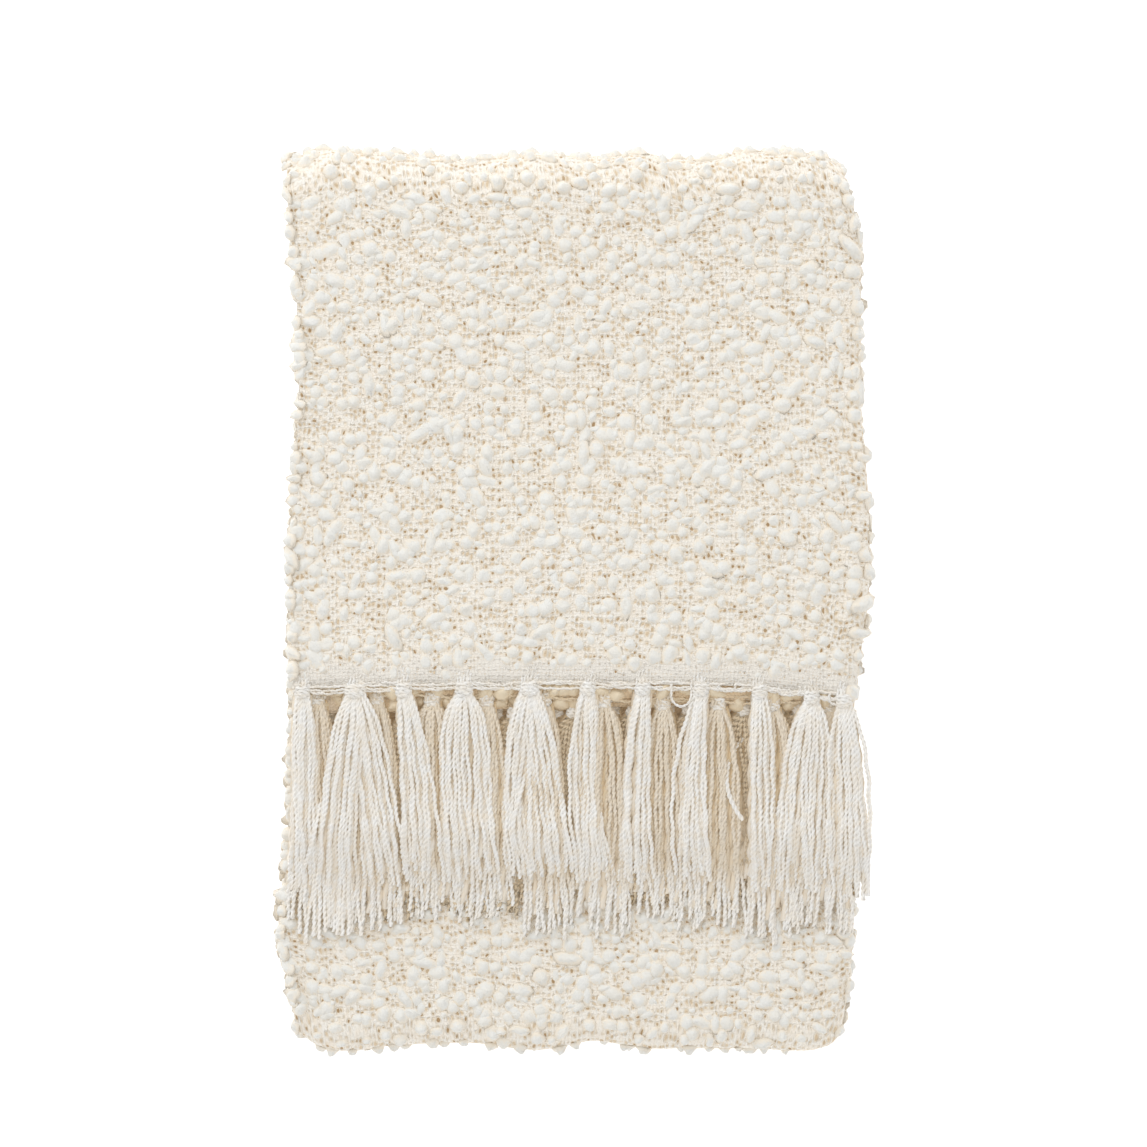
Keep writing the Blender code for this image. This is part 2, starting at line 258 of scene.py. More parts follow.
def cloth_point(u, s):
    """Points of the middle of the cloth, at distances across and along. Past a hem it runs straight on."""
    u, s = np.asarray(u, float), np.asarray(s, float)
    x, offset = along_line(u, U, ACROSS)
    y, z, normal_y, normal_z = along_line(s, S, ALONG, NORMALS)
    y = y - np.maximum(-s, 0) - np.maximum(s - LENGTH, 0)
    upper, under = np.clip(1 - s / FIRST_RUN, 0, 1), np.clip(1 - (LENGTH - s) / LAST_RUN, 0, 1)
    across = LAYERS * u / WIDTH
    drop = upper * column_at(HEMS, 1, across) + under * column_at(HEMS, 2, across)
    offset = offset + ripple(u, s) * ease(z / BUNDLE - 0.5)
    return uneven(x, y + offset * normal_y - drop * MM, z + offset * normal_z)


def cloth_facing(u, s, step=0.4 * MM):
    """Outward unit normals of the cloth, and the unit directions across and along it."""
    width_way = cloth_point(u + step, s) - cloth_point(u - step, s)
    length_way = cloth_point(u, s + step) - cloth_point(u, s - step)
    out = np.cross(width_way, length_way)
    return tuple(v / np.linalg.norm(v, axis=-1, keepdims=True) for v in (out, width_way, length_way))


middle, facing = cloth_point(0.15, 0.15), cloth_facing(0.15, 0.15)[0]
print("a place on the top panel:", np.round(middle, 4), "facing", np.round(facing, 2))

# %% [markdown]
# ## The cloth
#
# The throw is one sheet of cloth, about two millimetres thick. Each layer could be a slab of its own, but
# the turns would then show seams. So the sheet is one grid, bent along both lines and given its thickness
# by Solidify. Its cells are small where the cloth shows or turns, and large where it lies inside the
# stack. Its own UV map holds the distances across and along the cloth in metres, so that the weave follows
# every fold.

# %% Grid of the folded sheet
SEGMENT_ENDS = np.array([0, 160, 224, 384, 448, 608, 672, 832])
U_ENDS, S_ENDS = U[SEGMENT_ENDS], S[SEGMENT_ENDS]
U_CELLS = (74, 10, 12, 5, 12, 5, 12)
S_CELLS = (62, 16, 30, 10, 72, 6, 18)
HEM_LIP = 2.0 * MM
SHADE_EDGE = 10.0 * MM


def show(name, data):
    """A new object, put in the scene."""
    thing = bpy.data.objects.new(name, data)
    bpy.context.scene.collection.objects.link(thing)
    return thing


def mesh_from(bm, name):
    """A bmesh, kept as a mesh."""
    mesh = bpy.data.meshes.new(name)
    bm.to_mesh(mesh)
    bm.free()
    return mesh


def store(mesh, name, values, kind="FLOAT"):
    """Keeps a number, or a vector, for each point of a mesh."""
    field = "vector" if kind == "FLOAT_VECTOR" else "value"
    layer = mesh.attributes.new(name, kind, "POINT")
    layer.data.foreach_set(field, np.asarray(values, np.float32).ravel())


def grid_lines(ends, cells):
    """The places of the grid's lines along one of the two directions."""
    parts = [np.linspace(a, b, n, endpoint=False) for a, b, n in zip(ends, ends[1:], cells)]
    return np.concatenate(parts + [ends[-1:]])


def buried(u):
    """How far inside the stack a place across the cloth lies, from 0 on its outside to 1."""
    inside = np.zeros_like(u)
    for start, end in zip(U_ENDS[2::2], U_ENDS[3::2]):
        within = ease((u - start) / SHADE_EDGE) * ease((end - u) / SHADE_EDGE)
        inside = np.maximum(inside, within)
    return inside


def make_sheet(name, u_lines, s_lines, thick):
    """A thin sheet through the given lines of the cloth, with its UV map and its painted shade."""
    columns, rows = len(u_lines) - 1, len(s_lines) - 1
    bm = bmesh.new()
    bmesh.ops.create_grid(bm, x_segments=columns, y_segments=rows, size=1)
    grid = np.array([vert.co for vert in bm.verts])
    column = np.rint((grid[:, 0] + 1) / 2 * columns).astype(int)
    row = np.rint((grid[:, 1] + 1) / 2 * rows).astype(int)
    places = cloth_point(u_lines[column], s_lines[row])
    uv = bm.loops.layers.uv.new("weave")
    for vert, place, i, j in zip(bm.verts, places, column, row):
        vert.co = place
        for loop in vert.link_loops:
            loop[uv].uv = (u_lines[i], s_lines[j])
    mesh = mesh_from(bm, name)
    mesh.shade_smooth()
    # The layers inside the stack hold a painted shade, which the weave turns tan where they show.
    store(mesh, "shade", buried(u_lines[column]))
    sheet = show(name, mesh)
    solid = sheet.modifiers.new("thickness", "SOLIDIFY")
    solid.thickness = thick
    solid.offset = 0
    return sheet


s_lines = grid_lines(S_ENDS, S_CELLS)
s_lines[0] -= HEM_LIP
s_lines[-1] += HEM_LIP
cloth = make_sheet("cloth_sheet", grid_lines(U_ENDS, U_CELLS), s_lines, CLOTH_THICK)
print("the sheet has", len(cloth.data.polygons), "faces before it gets its thickness")

# %% [markdown]
# ## Material helpers
#
# A material is a small graph, and is often joined up by hand in the node editor. In a script, helpers that
# add a node and join it up in one line keep each recipe short enough to be read from top to bottom. Cloth,
# nubs and yarn have a faint warm glow, a painted light that stands for light soaking through thin fibres: it
# lifts their shade, and keeps the gaps between them tan and not grey.

# %% Short ways to add and join nodes
# Painted light: a warm glow that lifts the shade of the cloth, nubs and yarn.
PAINTED_GLOW = (1.0, 0.80, 0.54, 1)


def feed(socket, value):
    """Joins a socket to another one or to a node's first output, or sets it to a value."""
    if isinstance(value, bpy.types.Node):
        value = value.outputs[0]
    if isinstance(value, bpy.types.NodeSocket):
        socket.id_data.links.new(value, socket)
    else:
        socket.default_value = value


class Net:
    """The nodes of a tree. Each method adds one, joins it up and returns its result."""

    def __init__(self, tree):
        self.tree = tree

    def __getattr__(self, operation):
        """Any operation of the Math node, called by its name."""
        settings = {"operation": operation.upper()}
        return lambda *values: self.node("ShaderNodeMath", settings, values).outputs[0]

    def node(self, kind, settings=(), values=(), **inputs):
        """A node with its settings, its first inputs in order and others by name, a _ for a space."""
        node = self.tree.nodes.new(kind)
        for key, value in dict(settings).items():
            setattr(node, key, value)
        for socket, value in zip(node.inputs, values):
            feed(socket, value)
        for key, value in inputs.items():
            feed(node.inputs[key.replace("_", " ")], value)
        return node

    def vector(self, *values):
        """Up to three numbers put together."""
        return self.node("ShaderNodeCombineXYZ", (), values)

    def noise(self, place, size, detail=2.0):
        """A soft noise from 0 to 1, with patches of about a given size."""
        return self.node("ShaderNodeTexNoise", Vector=place, Scale=1 / size, Detail=detail).outputs[0]

    def luck(self, place, output="Value"):
        """A random number or colour for each whole place."""
        return self.node("ShaderNodeTexWhiteNoise", Vector=place).outputs[output]

    def point(self, name):
        """A number that the mesh holds for each of its points."""
        return self.node("ShaderNodeAttribute", {"attribute_name": name}).outputs["Fac"]

    def stretch(self, value, low, high):
        """A value spread from 0 at low to 1 at high, with an easy slope."""
        easy = {"interpolation_type": "SMOOTHSTEP"}
        return self.node("ShaderNodeMapRange", easy, (value, low, high)).outputs[0]

    def blend(self, share, first, second):
        """A mix of two colours."""
        node = self.node("ShaderNodeMix", {"data_type": "RGBA"}, Factor=share)
        feed(node.inputs[6], first)
        feed(node.inputs[7], second)
        return node.outputs[2]


def new_material(name, roughness, sheen, glow, **values):
    """A matt material, with a little light of its own: by default a painted warm glow that lifts the shade
    of loose fibres.
    """
    finish = bpy.data.materials.new(name)
    finish.use_nodes = True
    shader = finish.node_tree.nodes["Principled BSDF"]
    values = {"Emission Color": PAINTED_GLOW, "Emission Strength": glow, "Specular IOR Level": 0.2, **values}
    values |= {"Roughness": roughness, "Sheen Weight": sheen, "Sheen Roughness": 0.5}
    for label, value in values.items():
        shader.inputs[label].default_value = value
    return finish, Net(finish.node_tree), shader


def dress(net, shader, colour, height, depth, strength):
    """Gives a shader its colour and its relief."""
    relief = net.node("ShaderNodeBump", Strength=strength, Distance=depth, Height=height)
    feed(shader.inputs["Base Color"], colour)
    feed(shader.inputs["Normal"], relief)


# %% [markdown]
# ## The open weave
#
# The ground of the throw is a loose plain weave of fine uneven yarn. Its threads wander and leave small
# upright holes between them, through which the layers below look tan. They could be modelled one by one,
# but there are thousands, and they show only as a fine grain, so a pattern in the material does as well.
# The UV map is cut into one cell for each hole. A random number moves the hole a little and decides how
# far it opens, and a slow noise makes some patches looser than others. The hems are woven closer and have
# hardly any. The holes and the small gaps between the fine threads are painted tan and brown, as painted
# shade of the layers seen through them, with a soft painted shade round each hole.

# %% Weave material
HOLE_PITCH = (2.8 * MM, 4.1 * MM)
HOLE_REACH = (0.25, 0.19)
HOLE_DRIFT = 1.6
HOLE_SHIFT = 0.36
FINE_PITCH = (2.0 * MM, 1.8 * MM)
FINE_DRIFT = 1.4
DRIFT_SIZE = 8 * MM
LOOSE_SIZE = 9 * MM
CLOSE_HEM = (5.0 * MM, 15.0 * MM)
RAGGED_HEM = 30 * MM
WEAVE_RELIEF = 0.42 * MM
# Painted shade: the holes, the small dots, the soft ring round each hole, and the tan of the layers inside
# the stack.
HOLE_SHADE_TAN = (0.684, 0.553, 0.395, 1)
HOLE_SHADE_BROWN = (0.38, 0.24, 0.12, 1)
PAINTED_DIP_SHADE = (0.777, 0.674, 0.526, 1)
GROUND_WARM = (0.875, 0.81, 0.715, 1)
GROUND_PALE = (0.885, 0.857, 0.80, 1)
HEM_GREY = (0.814, 0.781, 0.724, 1)
PAINTED_SHADE_TAN = (0.80, 0.60, 0.375, 1)


def wander(net, split, direction, pitch, reach):
    """The count of cells passed along one direction of the cloth, with a soft drift."""
    place = net.vector(split.outputs[0], split.outputs[1], 0.37 * (direction + 1))
    drift = net.subtract(net.noise(place, DRIFT_SIZE), 0.5)
    count = net.divide(split.outputs[direction], pitch)
    return net.multiply_add(drift, reach, count)


def holes(net, split, looseness):
    """How open the cloth is at a place, the soft hollow round its hole, for relief and painted shade, and a
    random number for it.
    """
    counts = [wander(net, split, axis, HOLE_PITCH[axis], HOLE_DRIFT) for axis in (0, 1)]
    column = net.floor(counts[0])
    counts[1] = net.multiply_add(net.luck(net.vector(column, 0.5)), 0.7, counts[1])
    cells = [net.floor(count) for count in counts]
    colours = net.luck(net.vector(*cells), "Color")
    shares = net.node("ShaderNodeSeparateColor", Color=colours).outputs
    squares = []
    for count, share, reach in zip(counts, shares, HOLE_REACH):
        local = net.subtract(net.fract(count), 0.5)
        shift = net.multiply_add(share, HOLE_SHIFT, -HOLE_SHIFT / 2)
        off = net.divide(net.subtract(local, shift), reach)
        squares.append(net.multiply(off, off))
    distance = net.sqrt(net.add(*squares))
    size = net.stretch(net.add(shares[2], looseness), -0.15, 1.0)
    edge = net.multiply_add(distance, -0.75, size)
    return net.stretch(edge, 0.0, 0.26), net.stretch(edge, -1.1, 0.1), shares[1]


def inside_hems(net, split, loose, shade):
    """0 in the close weave of a hem, and 1 on the open panels and inside the stack."""
    far_end = net.subtract(float(LENGTH), split.outputs[1])
    to_hem = net.minimum(split.outputs[1], far_end)
    to_hem = net.multiply_add(loose, RAGGED_HEM, to_hem)
    return net.maximum(net.stretch(to_hem, *CLOSE_HEM), shade)


def plain_weave(net, split, inner):
    """The height of the crossing threads, and the small dots of painted shade in the gaps between them."""
    fine = [wander(net, split, axis, FINE_PITCH[axis], FINE_DRIFT) for axis in (0, 1)]
    waves = [net.sine(net.multiply(count, math.pi)) for count in fine]
    ridges = [net.absolute(wave) for wave in waves]
    over = net.stretch(net.multiply(*waves), -0.3, 0.3)
    under = net.subtract(1.0, over)
    height = net.multiply_add(ridges[1], under, net.multiply(ridges[0], over))
    luck = net.luck(net.vector(*(net.round(count) for count in fine)))
    gap = net.subtract(1.0, net.maximum(*ridges))
    dot = net.multiply_add(luck, 0.9, net.subtract(gap, 1.0))
    dot = net.multiply_add(inner, -0.2, dot)
    return height, net.stretch(dot, 0.0, 0.34)


def weave_material():
    """Ivory plain weave with wandering threads and small holes, with painted shade in the holes and round
    them.
    """
    finish, net, shader = new_material("ivory_weave", roughness=0.92, sheen=0.1, glow=0.06)
    uv = net.node("ShaderNodeUVMap", {"uv_map": "weave"})
    split = net.node("ShaderNodeSeparateXYZ", Vector=uv)
    across, along = split.outputs[0], split.outputs[1]
    place = net.vector(net.multiply(across, 0.6), along)
    loose = net.subtract(net.noise(place, LOOSE_SIZE, 3.0), 0.5)
    shade = net.point("shade")
    inner = inside_hems(net, split, loose, shade)
    looseness = net.multiply_add(loose, 2.6, net.multiply_add(inner, 0.75, -0.75))
    hole, dip_and_shade, luck = holes(net, split, looseness)
    height, dot = plain_weave(net, split, inner)
    tone = net.noise(net.vector(across, along, 3.1), 5 * MM, 3.0)
    ground = net.blend(net.stretch(tone, 0.35, 0.65), GROUND_WARM, GROUND_PALE)
    # Painted shade round each hole.
    ground = net.blend(net.multiply(dip_and_shade, 0.8), ground, PAINTED_DIP_SHADE)
    ground = net.blend(inner, HEM_GREY, ground)
    # The holes and the small dots take the painted shade of the layers seen through them.
    hole_shade = net.blend(net.stretch(luck, 0.0, 0.6), HOLE_SHADE_BROWN, HOLE_SHADE_TAN)
    colour = net.blend(net.multiply(dot, 0.5), ground, HOLE_SHADE_TAN)
    # Painted shade: the layers inside the stack are tinted tan.
    colour = net.blend(net.multiply(shade, 0.85), colour, PAINTED_SHADE_TAN)
    colour = net.blend(hole, colour, hole_shade)
    fibre = net.noise(net.vector(across, along, 5.0), 0.6 * MM)
    relief = net.multiply_add(dip_and_shade, -1.6, net.multiply_add(fibre, 0.5, height))
    dress(net, shader, colour, relief, WEAVE_RELIEF, 0.9)
    return finish


weave = weave_material()
cloth.data.materials.append(weave)
print("weave material has", len(weave.node_tree.nodes), "nodes")

# %% [markdown]
# ## Nubs of slub yarn
#
# A thick and soft second yarn bulges out of the ground every centimetre or so. Relief in the material
# could show this from above, but not along the edges, where the nubs make the outline scalloped. So
# Geometry Nodes sets a soft dome on each point of a host mesh, turns and stretches it by the point's
# attributes, and dents it with noise, so that no two are alike. The points come from a jittered lattice on
# the cloth, as real nubs lie in rough rows and columns.

# %% Node tree that sets shapes on points
FLOOR_CLEARANCE = 0.2 * MM


def new_tree(name, **inputs):
    """A Geometry Nodes tree that takes a host mesh, the named inputs and a material."""
    tree = bpy.data.node_groups.new(name, "GeometryNodeTree")
    for label, kind in {"Geometry": "Geometry", **inputs, "Material": "Material"}.items():
        label = label.replace("_", " ")
        tree.interface.new_socket(label, in_out="INPUT", socket_type="NodeSocket" + kind)
    tree.interface.new_socket("Geometry", in_out="OUTPUT", socket_type="NodeSocketGeometry")
    return Net(tree), tree.nodes.new("NodeGroupInput").outputs


def finish_tree(net, given, shape):
    """Smooths a tree's shape, gives it its material and hands it out."""
    smooth = net.node("GeometryNodeSetShadeSmooth", Geometry=shape)
    dressed = net.node("GeometryNodeSetMaterial", Geometry=smooth, Material=given["Material"])
    net.node("NodeGroupOutput", Geometry=dressed)
    print("tree", net.tree.name, "has", len(net.tree.nodes), "nodes")
    return net.tree


def named(net, name, data_type="FLOAT_VECTOR"):
    """A named attribute of the host's points."""
    return net.node("GeometryNodeInputNamedAttribute", {"data_type": data_type}, Name=name).outputs[0]


def scatter_tree():
    """Sets a shape on each point, turned and grown by the point, then dents it."""
    net, given = new_tree("set_shapes_on_points", Shape="Object", Dent_depth="Float", Dent_size="Float")
    shape = net.node("GeometryNodeObjectInfo", Object=given["Shape"], As_Instance=True)
    placed = net.node("GeometryNodeInstanceOnPoints", Points=given["Geometry"], Scale=named(net, "grown"))
    feed(placed.inputs["Instance"], shape.outputs["Geometry"])
    turns = net.node("FunctionNodeEulerToRotation", Euler=named(net, "turned"))
    feed(placed.inputs["Rotation"], turns)
    real = net.node("GeometryNodeRealizeInstances", Geometry=placed)
    place = net.node("GeometryNodeInputPosition")
    scale = net.divide(1.0, given["Dent size"])
    wobble = net.node("ShaderNodeTexNoise", Vector=place, Scale=scale, Detail=1.0).outputs["Color"]
    centred = net.node("ShaderNodeVectorMath", {"operation": "SUBTRACT"}, (wobble, (0.5, 0.5, 0.5)))
    dent = net.node("ShaderNodeVectorMath", {"operation": "SCALE"}, (centred,), Scale=given["Dent depth"])
    return finish_tree(net, given, net.node("GeometryNodeSetPosition", Geometry=real, Offset=dent))


def grow(name, host, tree, **inputs):
    """Runs a tree on a host mesh and keeps the result as a plain mesh piece."""
    worker = show(name + "_host", host)
    modifier = worker.modifiers.new("grow", "NODES")
    modifier.node_group = tree
    for socket in tree.interface.items_tree:
        label = socket.name.replace(" ", "_").lower()
        if label in inputs:
            modifier[socket.identifier] = inputs[label]
    bpy.context.view_layer.update()
    graph = bpy.context.evaluated_depsgraph_get()
    mesh = bpy.data.meshes.new_from_object(worker.evaluated_get(graph))
    bpy.data.objects.remove(worker)
    bpy.data.meshes.remove(host)
    mesh.name = name
    mesh.calc_loop_triangles()
    print(name, "has", len(mesh.loop_triangles), "triangles")
    return show(name, mesh)


def rest_on_floor(piece):
    """Flattens whatever would hang below the floor."""
    flat = np.zeros(3 * len(piece.data.vertices), np.float32)
    piece.data.vertices.foreach_get("co", flat)
    flat[2::3] = np.maximum(flat[2::3], FLOOR_CLEARANCE)
    piece.data.vertices.foreach_set("co", flat)
    piece.data.update()


scatter = scatter_tree()

# %% [markdown]
# Each zone of the cloth that shows has a row in a table: where it lies, how far apart its nubs are, what
# share of the lattice is filled, and how large the nubs are. Along an edge or a turn the nubs lean
# outwards, which gives the throw its scalloped outline. Under the stack they are pressed flat.

# %% Where the nubs sit
LAYER_END = U_ENDS[1]
HEM_BAND = 9.0 * MM
FRONT_ZONE = S_ENDS[4] + 160 * MM
SECOND_HEM = U_ENDS[6:8]
THIRD_HEM = U_ENDS[4:6]
EDGE = 1.0 * MM
# Each zone: u from, u to, s from, s to, spacing in mm, share filled, size in mm, lean, flatness, face.
NUB_ZONES = {
    "top_panel": (0, LAYER_END, HEM_BAND, S_ENDS[1], 8.6, 0.93, 4.6, 0, 0.5, 1),
    "top_panel_small": (0, LAYER_END, HEM_BAND, S_ENDS[1], 10.0, 0.6, 3.2, 0, 0.55, 1),
    "top_fold": (0, LAYER_END, S_ENDS[1], S_ENDS[2], 8.5, 0.9, 4.1, 0, 0.9, 1),
    "top_hem": (0, LAYER_END, 3 * MM, HEM_BAND, 11.0, 0.35, 3.4, 0, 0.5, 1),
    "second_hem": (*SECOND_HEM, -1 * MM, 7 * MM, 7.0, 0.95, 4.6, 0, 0.8, -1),
    "third_hem": (*THIRD_HEM, -1 * MM, 10 * MM, 7.0, 0.95, 4.6, 0, 0.8, 1),
    "underside": (0, LAYER_END, S_ENDS[2], S_ENDS[3], 19, 0.9, 3.6, 0, 0.08, 1),
    "front_fold": (0, LAYER_END, S_ENDS[3], S_ENDS[4], 8.5, 0.9, 4.1, 0, 0.9, 1),
    "front_zone": (0, LAYER_END, S_ENDS[4], FRONT_ZONE, 8.2, 0.95, 4.5, 0, 0.55, 1),
    "front_zone_small": (0, LAYER_END, S_ENDS[4], FRONT_ZONE, 10.0, 0.55, 3.2, 0, 0.55, 1),
    "right_turn": (LAYER_END, U_ENDS[2], 0, S_ENDS[7], 8.8, 0.85, 4.9, 0, 0.75, 1),
    "left_turn": (U_ENDS[3], U_ENDS[4], 0, S_ENDS[7], 8.8, 0.85, 4.4, 0, 0.72, 1),
    "open_edge": (0, EDGE, 0, S_ENDS[7], 7.5, 0.88, 4.3, -1.0, 0.78, 1),
    "inner_edge": (WIDTH - EDGE, WIDTH, 0, S_ENDS[7], 8.0, 0.8, 4.0, 1.0, 0.75, 1),
}
CLUMP = 22.0 * MM
THINNING, THIN_BELOW = 0.9, 0.08
JITTER = 0.27
SIZE_RANGE = (0.72, 1.25)
MOST_STRETCH = 0.9
SPIN = 0.35
ALONG_WIDTH = 0.55
SINK = 0.8 * MM
LOW_CENTRE = 2.5 * MM
LEAST_HEIGHT = 0.3 * MM
FACES_UP = 0.7
DOME_SIDES = 9
DOME_RINGS = (1.0, 0.76, 0.5, 0.26)
DOME_ROOT = -0.25


def lattice(low, high, apart):
    """Evenly spaced places along a range, at least one."""
    count = max(int(round((high - low) / apart)), 1)
    return low + (np.arange(count) + 0.5) * (high - low) / count


def nub_points(rng, zone, shade):
    """Place, outward direction, first axis, spin, size and painted shade of one zone's nubs."""
    u_low, u_high, s_low, s_high, apart, filled, size, lean, flat, face = zone
    apart *= MM
    u, s = np.meshgrid(lattice(u_low, u_high, apart), lattice(s_low, s_high, apart))
    u, s = u.ravel(), s.ravel()
    crowd = np.array([crowding(Vector((a, b, 0)) / CLUMP) for a, b in zip(u, s)])
    keep = rng.random(len(u)) < filled + THINNING * np.minimum(crowd + THIN_BELOW, 0)
    u, s = u[keep], s[keep]
    u = np.clip(u + rng.normal(0, JITTER * apart, len(u)), u_low, u_high)
    s = np.clip(s + rng.normal(0, JITTER * apart, len(s)), s_low, s_high)
    out, width_way, length_way = cloth_facing(u, s)
    out = out * face + lean * width_way
    out /= np.linalg.norm(out, axis=1)[:, None]
    radius = size * MM * rng.uniform(*SIZE_RANGE, len(u))
    stretch = 1 + MOST_STRETCH * rng.random(len(u)) ** 3
    height = radius * flat + LEAST_HEIGHT
    centre = cloth_point(u, s) + out * (CLOTH_THICK / 2 - SINK)
    reach = np.where(np.abs(out[:, 2]) > FACES_UP, height, radius)
    centre[:, 2] = np.maximum(centre[:, 2], np.minimum(reach, LOW_CENTRE) + FLOOR_CLEARANCE)
    grown = np.stack([radius * stretch, radius / stretch**0.4, height], axis=1)
    along_width = rng.random(len(u)) < ALONG_WIDTH
    first = np.where(along_width[:, None], width_way, length_way)
    return centre, out, first, rng.normal(0, SPIN, len(u)), grown, np.full(len(centre), shade)


def turned(out, first, spin):
    """Euler angles that stand a shape's Z along out, and its X near first."""
    angles = []
    for z_axis, x_axis, angle in zip(out, first, spin):
        z_axis = Vector(z_axis)
        x_axis = Vector(x_axis) - z_axis * z_axis.dot(x_axis)
        x_axis = (Matrix.Rotation(angle, 3, z_axis) @ x_axis).normalized()
        axes = Matrix((x_axis, z_axis.cross(x_axis), z_axis)).transposed()
        angles.append(axes.to_euler("XYZ"))
    return np.array(angles)


def points_mesh(name, centre, shade, **vectors):
    """A mesh of loose points with their vectors and their painted shade."""
    mesh = bpy.data.meshes.new(name)
    mesh.from_pydata([tuple(point) for point in centre], [], [])
    for label, values in vectors.items():
        store(mesh, label, values, "FLOAT_VECTOR")
    store(mesh, "shade", shade)
    return mesh


def dome():
    """The soft dome that every nub starts from: it rises out of the cloth without an edge."""
    bm = bmesh.new()
    angles = np.linspace(0, 2 * math.pi, DOME_SIDES, endpoint=False)
    rings = [[bm.verts.new((0, 0, DOME_ROOT))] * DOME_SIDES]
    for reach in DOME_RINGS:
        height = (1 - reach**2) ** 1.3
        rings.append([bm.verts.new((reach * math.cos(a), reach * math.sin(a), height)) for a in angles])
    rings.append([bm.verts.new((0, 0, 1))] * DOME_SIDES)
    for low, high in zip(rings, rings[1:]):
        for side in range(DOME_SIDES):
            after = (side + 1) % DOME_SIDES
            corners = [low[side], low[after], high[after], high[side]]
            bm.faces.new(list(dict.fromkeys(corners)))
    bmesh.ops.recalc_face_normals(bm, faces=bm.faces)
    mesh = mesh_from(bm, "dome")
    store(mesh, "rise", [vert.co.z for vert in mesh.vertices])
    return show("dome", mesh)


# %% [markdown]
# The roving is undyed and cooler than the ground. Its soft fibres show as faint streaks in the relief.

# %% Nub material
ROVING = (0.79, 0.797, 0.778, 1)
ROVING_SHADE = (0.791, 0.781, 0.738, 1)
ROVING_ROOT = (0.842, 0.781, 0.681, 1)
PAINTED_SHADE_ROVING = (0.79, 0.65, 0.44, 1)


def roving_material():
    """Soft white roving, creamier where it dives into the weave."""
    finish, net, shader = new_material("soft_roving", roughness=0.95, sheen=0.15, glow=0.06)
    place = net.node("ShaderNodeTexCoord").outputs["Object"]
    tone = net.stretch(net.noise(place, 6 * MM), 0.35, 0.65)
    colour = net.blend(tone, ROVING_SHADE, ROVING)
    ragged = net.multiply_add(net.noise(place, 1.6 * MM), 1.1, -0.55)
    rise = net.stretch(net.add(net.point("rise"), ragged), 0.2, 0.75)
    colour = net.blend(rise, ROVING_ROOT, colour)
    # Painted shade: the nubs of the hems below the top one are browner.
    colour = net.blend(net.point("shade"), colour, PAINTED_SHADE_ROVING)
    dress(net, shader, colour, net.noise(place, 1.1 * MM, 4.0), 0.8 * MM, 0.7)
    return finish


# %% [markdown]
# The nubs are grown as three pieces, for the top, the front and the edges, so that none has too many
# triangles. The nubs of the two hems below the top one get a painted shade, browner and dimmer, because
# they lie in its shade.

# %% Grow the nubs
NUB_PIECES = {
    "nubs_top": ("top_panel", "top_panel_small", "top_fold", "top_hem", "second_hem", "third_hem"),
    "nubs_front": ("front_fold", "front_zone", "front_zone_small", "underside"),
    "nubs_edges": ("right_turn", "left_turn", "open_edge", "inner_edge"),
}
# Painted shade of the nubs of the hems below the top one.
HEM_SHADE = 0.75
rng = np.random.default_rng(7)
nub_shape = dome()
inputs = {"shape": nub_shape, "dent_depth": 3.6 * MM, "dent_size": 4.0 * MM, "material": roving_material()}
nubs = []
for name, zones in NUB_PIECES.items():
    parts = [nub_points(rng, NUB_ZONES[zone], HEM_SHADE * zone.endswith("d_hem")) for zone in zones]
    centre, out, first, spin, grown, shade = (np.concatenate(group) for group in zip(*parts))
    host = points_mesh(name, centre, shade, turned=turned(out, first, spin), grown=grown)
    nubs.append(grow(name, host, scatter, **inputs))
    rest_on_floor(nubs[-1])
    print(name, "holds", len(centre), "nubs")
bpy.data.objects.remove(nub_shape)

# %% [markdown]
# ## Plied yarn
#
# The fringe is cut from the throw's own warp: two plies twisted together. A curve with a bevel would give
# a plain round tube. Here a thread is a line of points, and a second tree turns each line into a tube
# whose cross-section has two lobes, and twists it along its length, which gives the rope-like look without
# a texture.

# %% Node tree that spins lines into plied yarn
RING_SIDES = 6
PLY_RADIUS = 0.56
WAIST = 0.5


def yarn_tree():
    """Turns each line of the host into a twisted two-ply thread."""
    net, given = new_tree("spin_plied_yarn", Thickness="Float", Ply_length="Float", Ring_spacing="Float")
    line = net.node("GeometryNodeMeshToCurve", Mesh=given["Geometry"])
    rings = given["Ring spacing"]
    even = net.node("GeometryNodeResampleCurve", {"mode": "LENGTH"}, Curve=line, Length=rings)
    length = net.node("GeometryNodeSplineParameter").outputs["Length"]
    turns = net.divide(length, given["Ply length"])
    turns = net.add(turns, named(net, "phase", "FLOAT"))
    tilt = net.multiply(turns, 2 * math.pi)
    twisted = net.node("GeometryNodeSetCurveTilt", Curve=even, Tilt=tilt)
    radius = net.multiply(given["Thickness"], PLY_RADIUS)
    ring = net.node("GeometryNodeCurvePrimitiveCircle", Resolution=RING_SIDES, Radius=radius)
    ring = net.node("GeometryNodeTransform", Geometry=ring, Rotation=(0.0, 0.0, math.pi / RING_SIDES))
    at = net.node("ShaderNodeSeparateXYZ", Vector=net.node("GeometryNodeInputPosition")).outputs
    share = net.divide(net.absolute(at[0]), radius)
    waist = net.multiply_add(share, 0.6, WAIST)
    lobed = net.vector(at[0], net.multiply(at[1], waist))
    profile = net.node("GeometryNodeSetPosition", Geometry=ring, Position=lobed)
    tube = net.node("GeometryNodeCurveToMesh", Curve=twisted, Profile_Curve=profile, Fill_Caps=True)
    return finish_tree(net, given, tube)


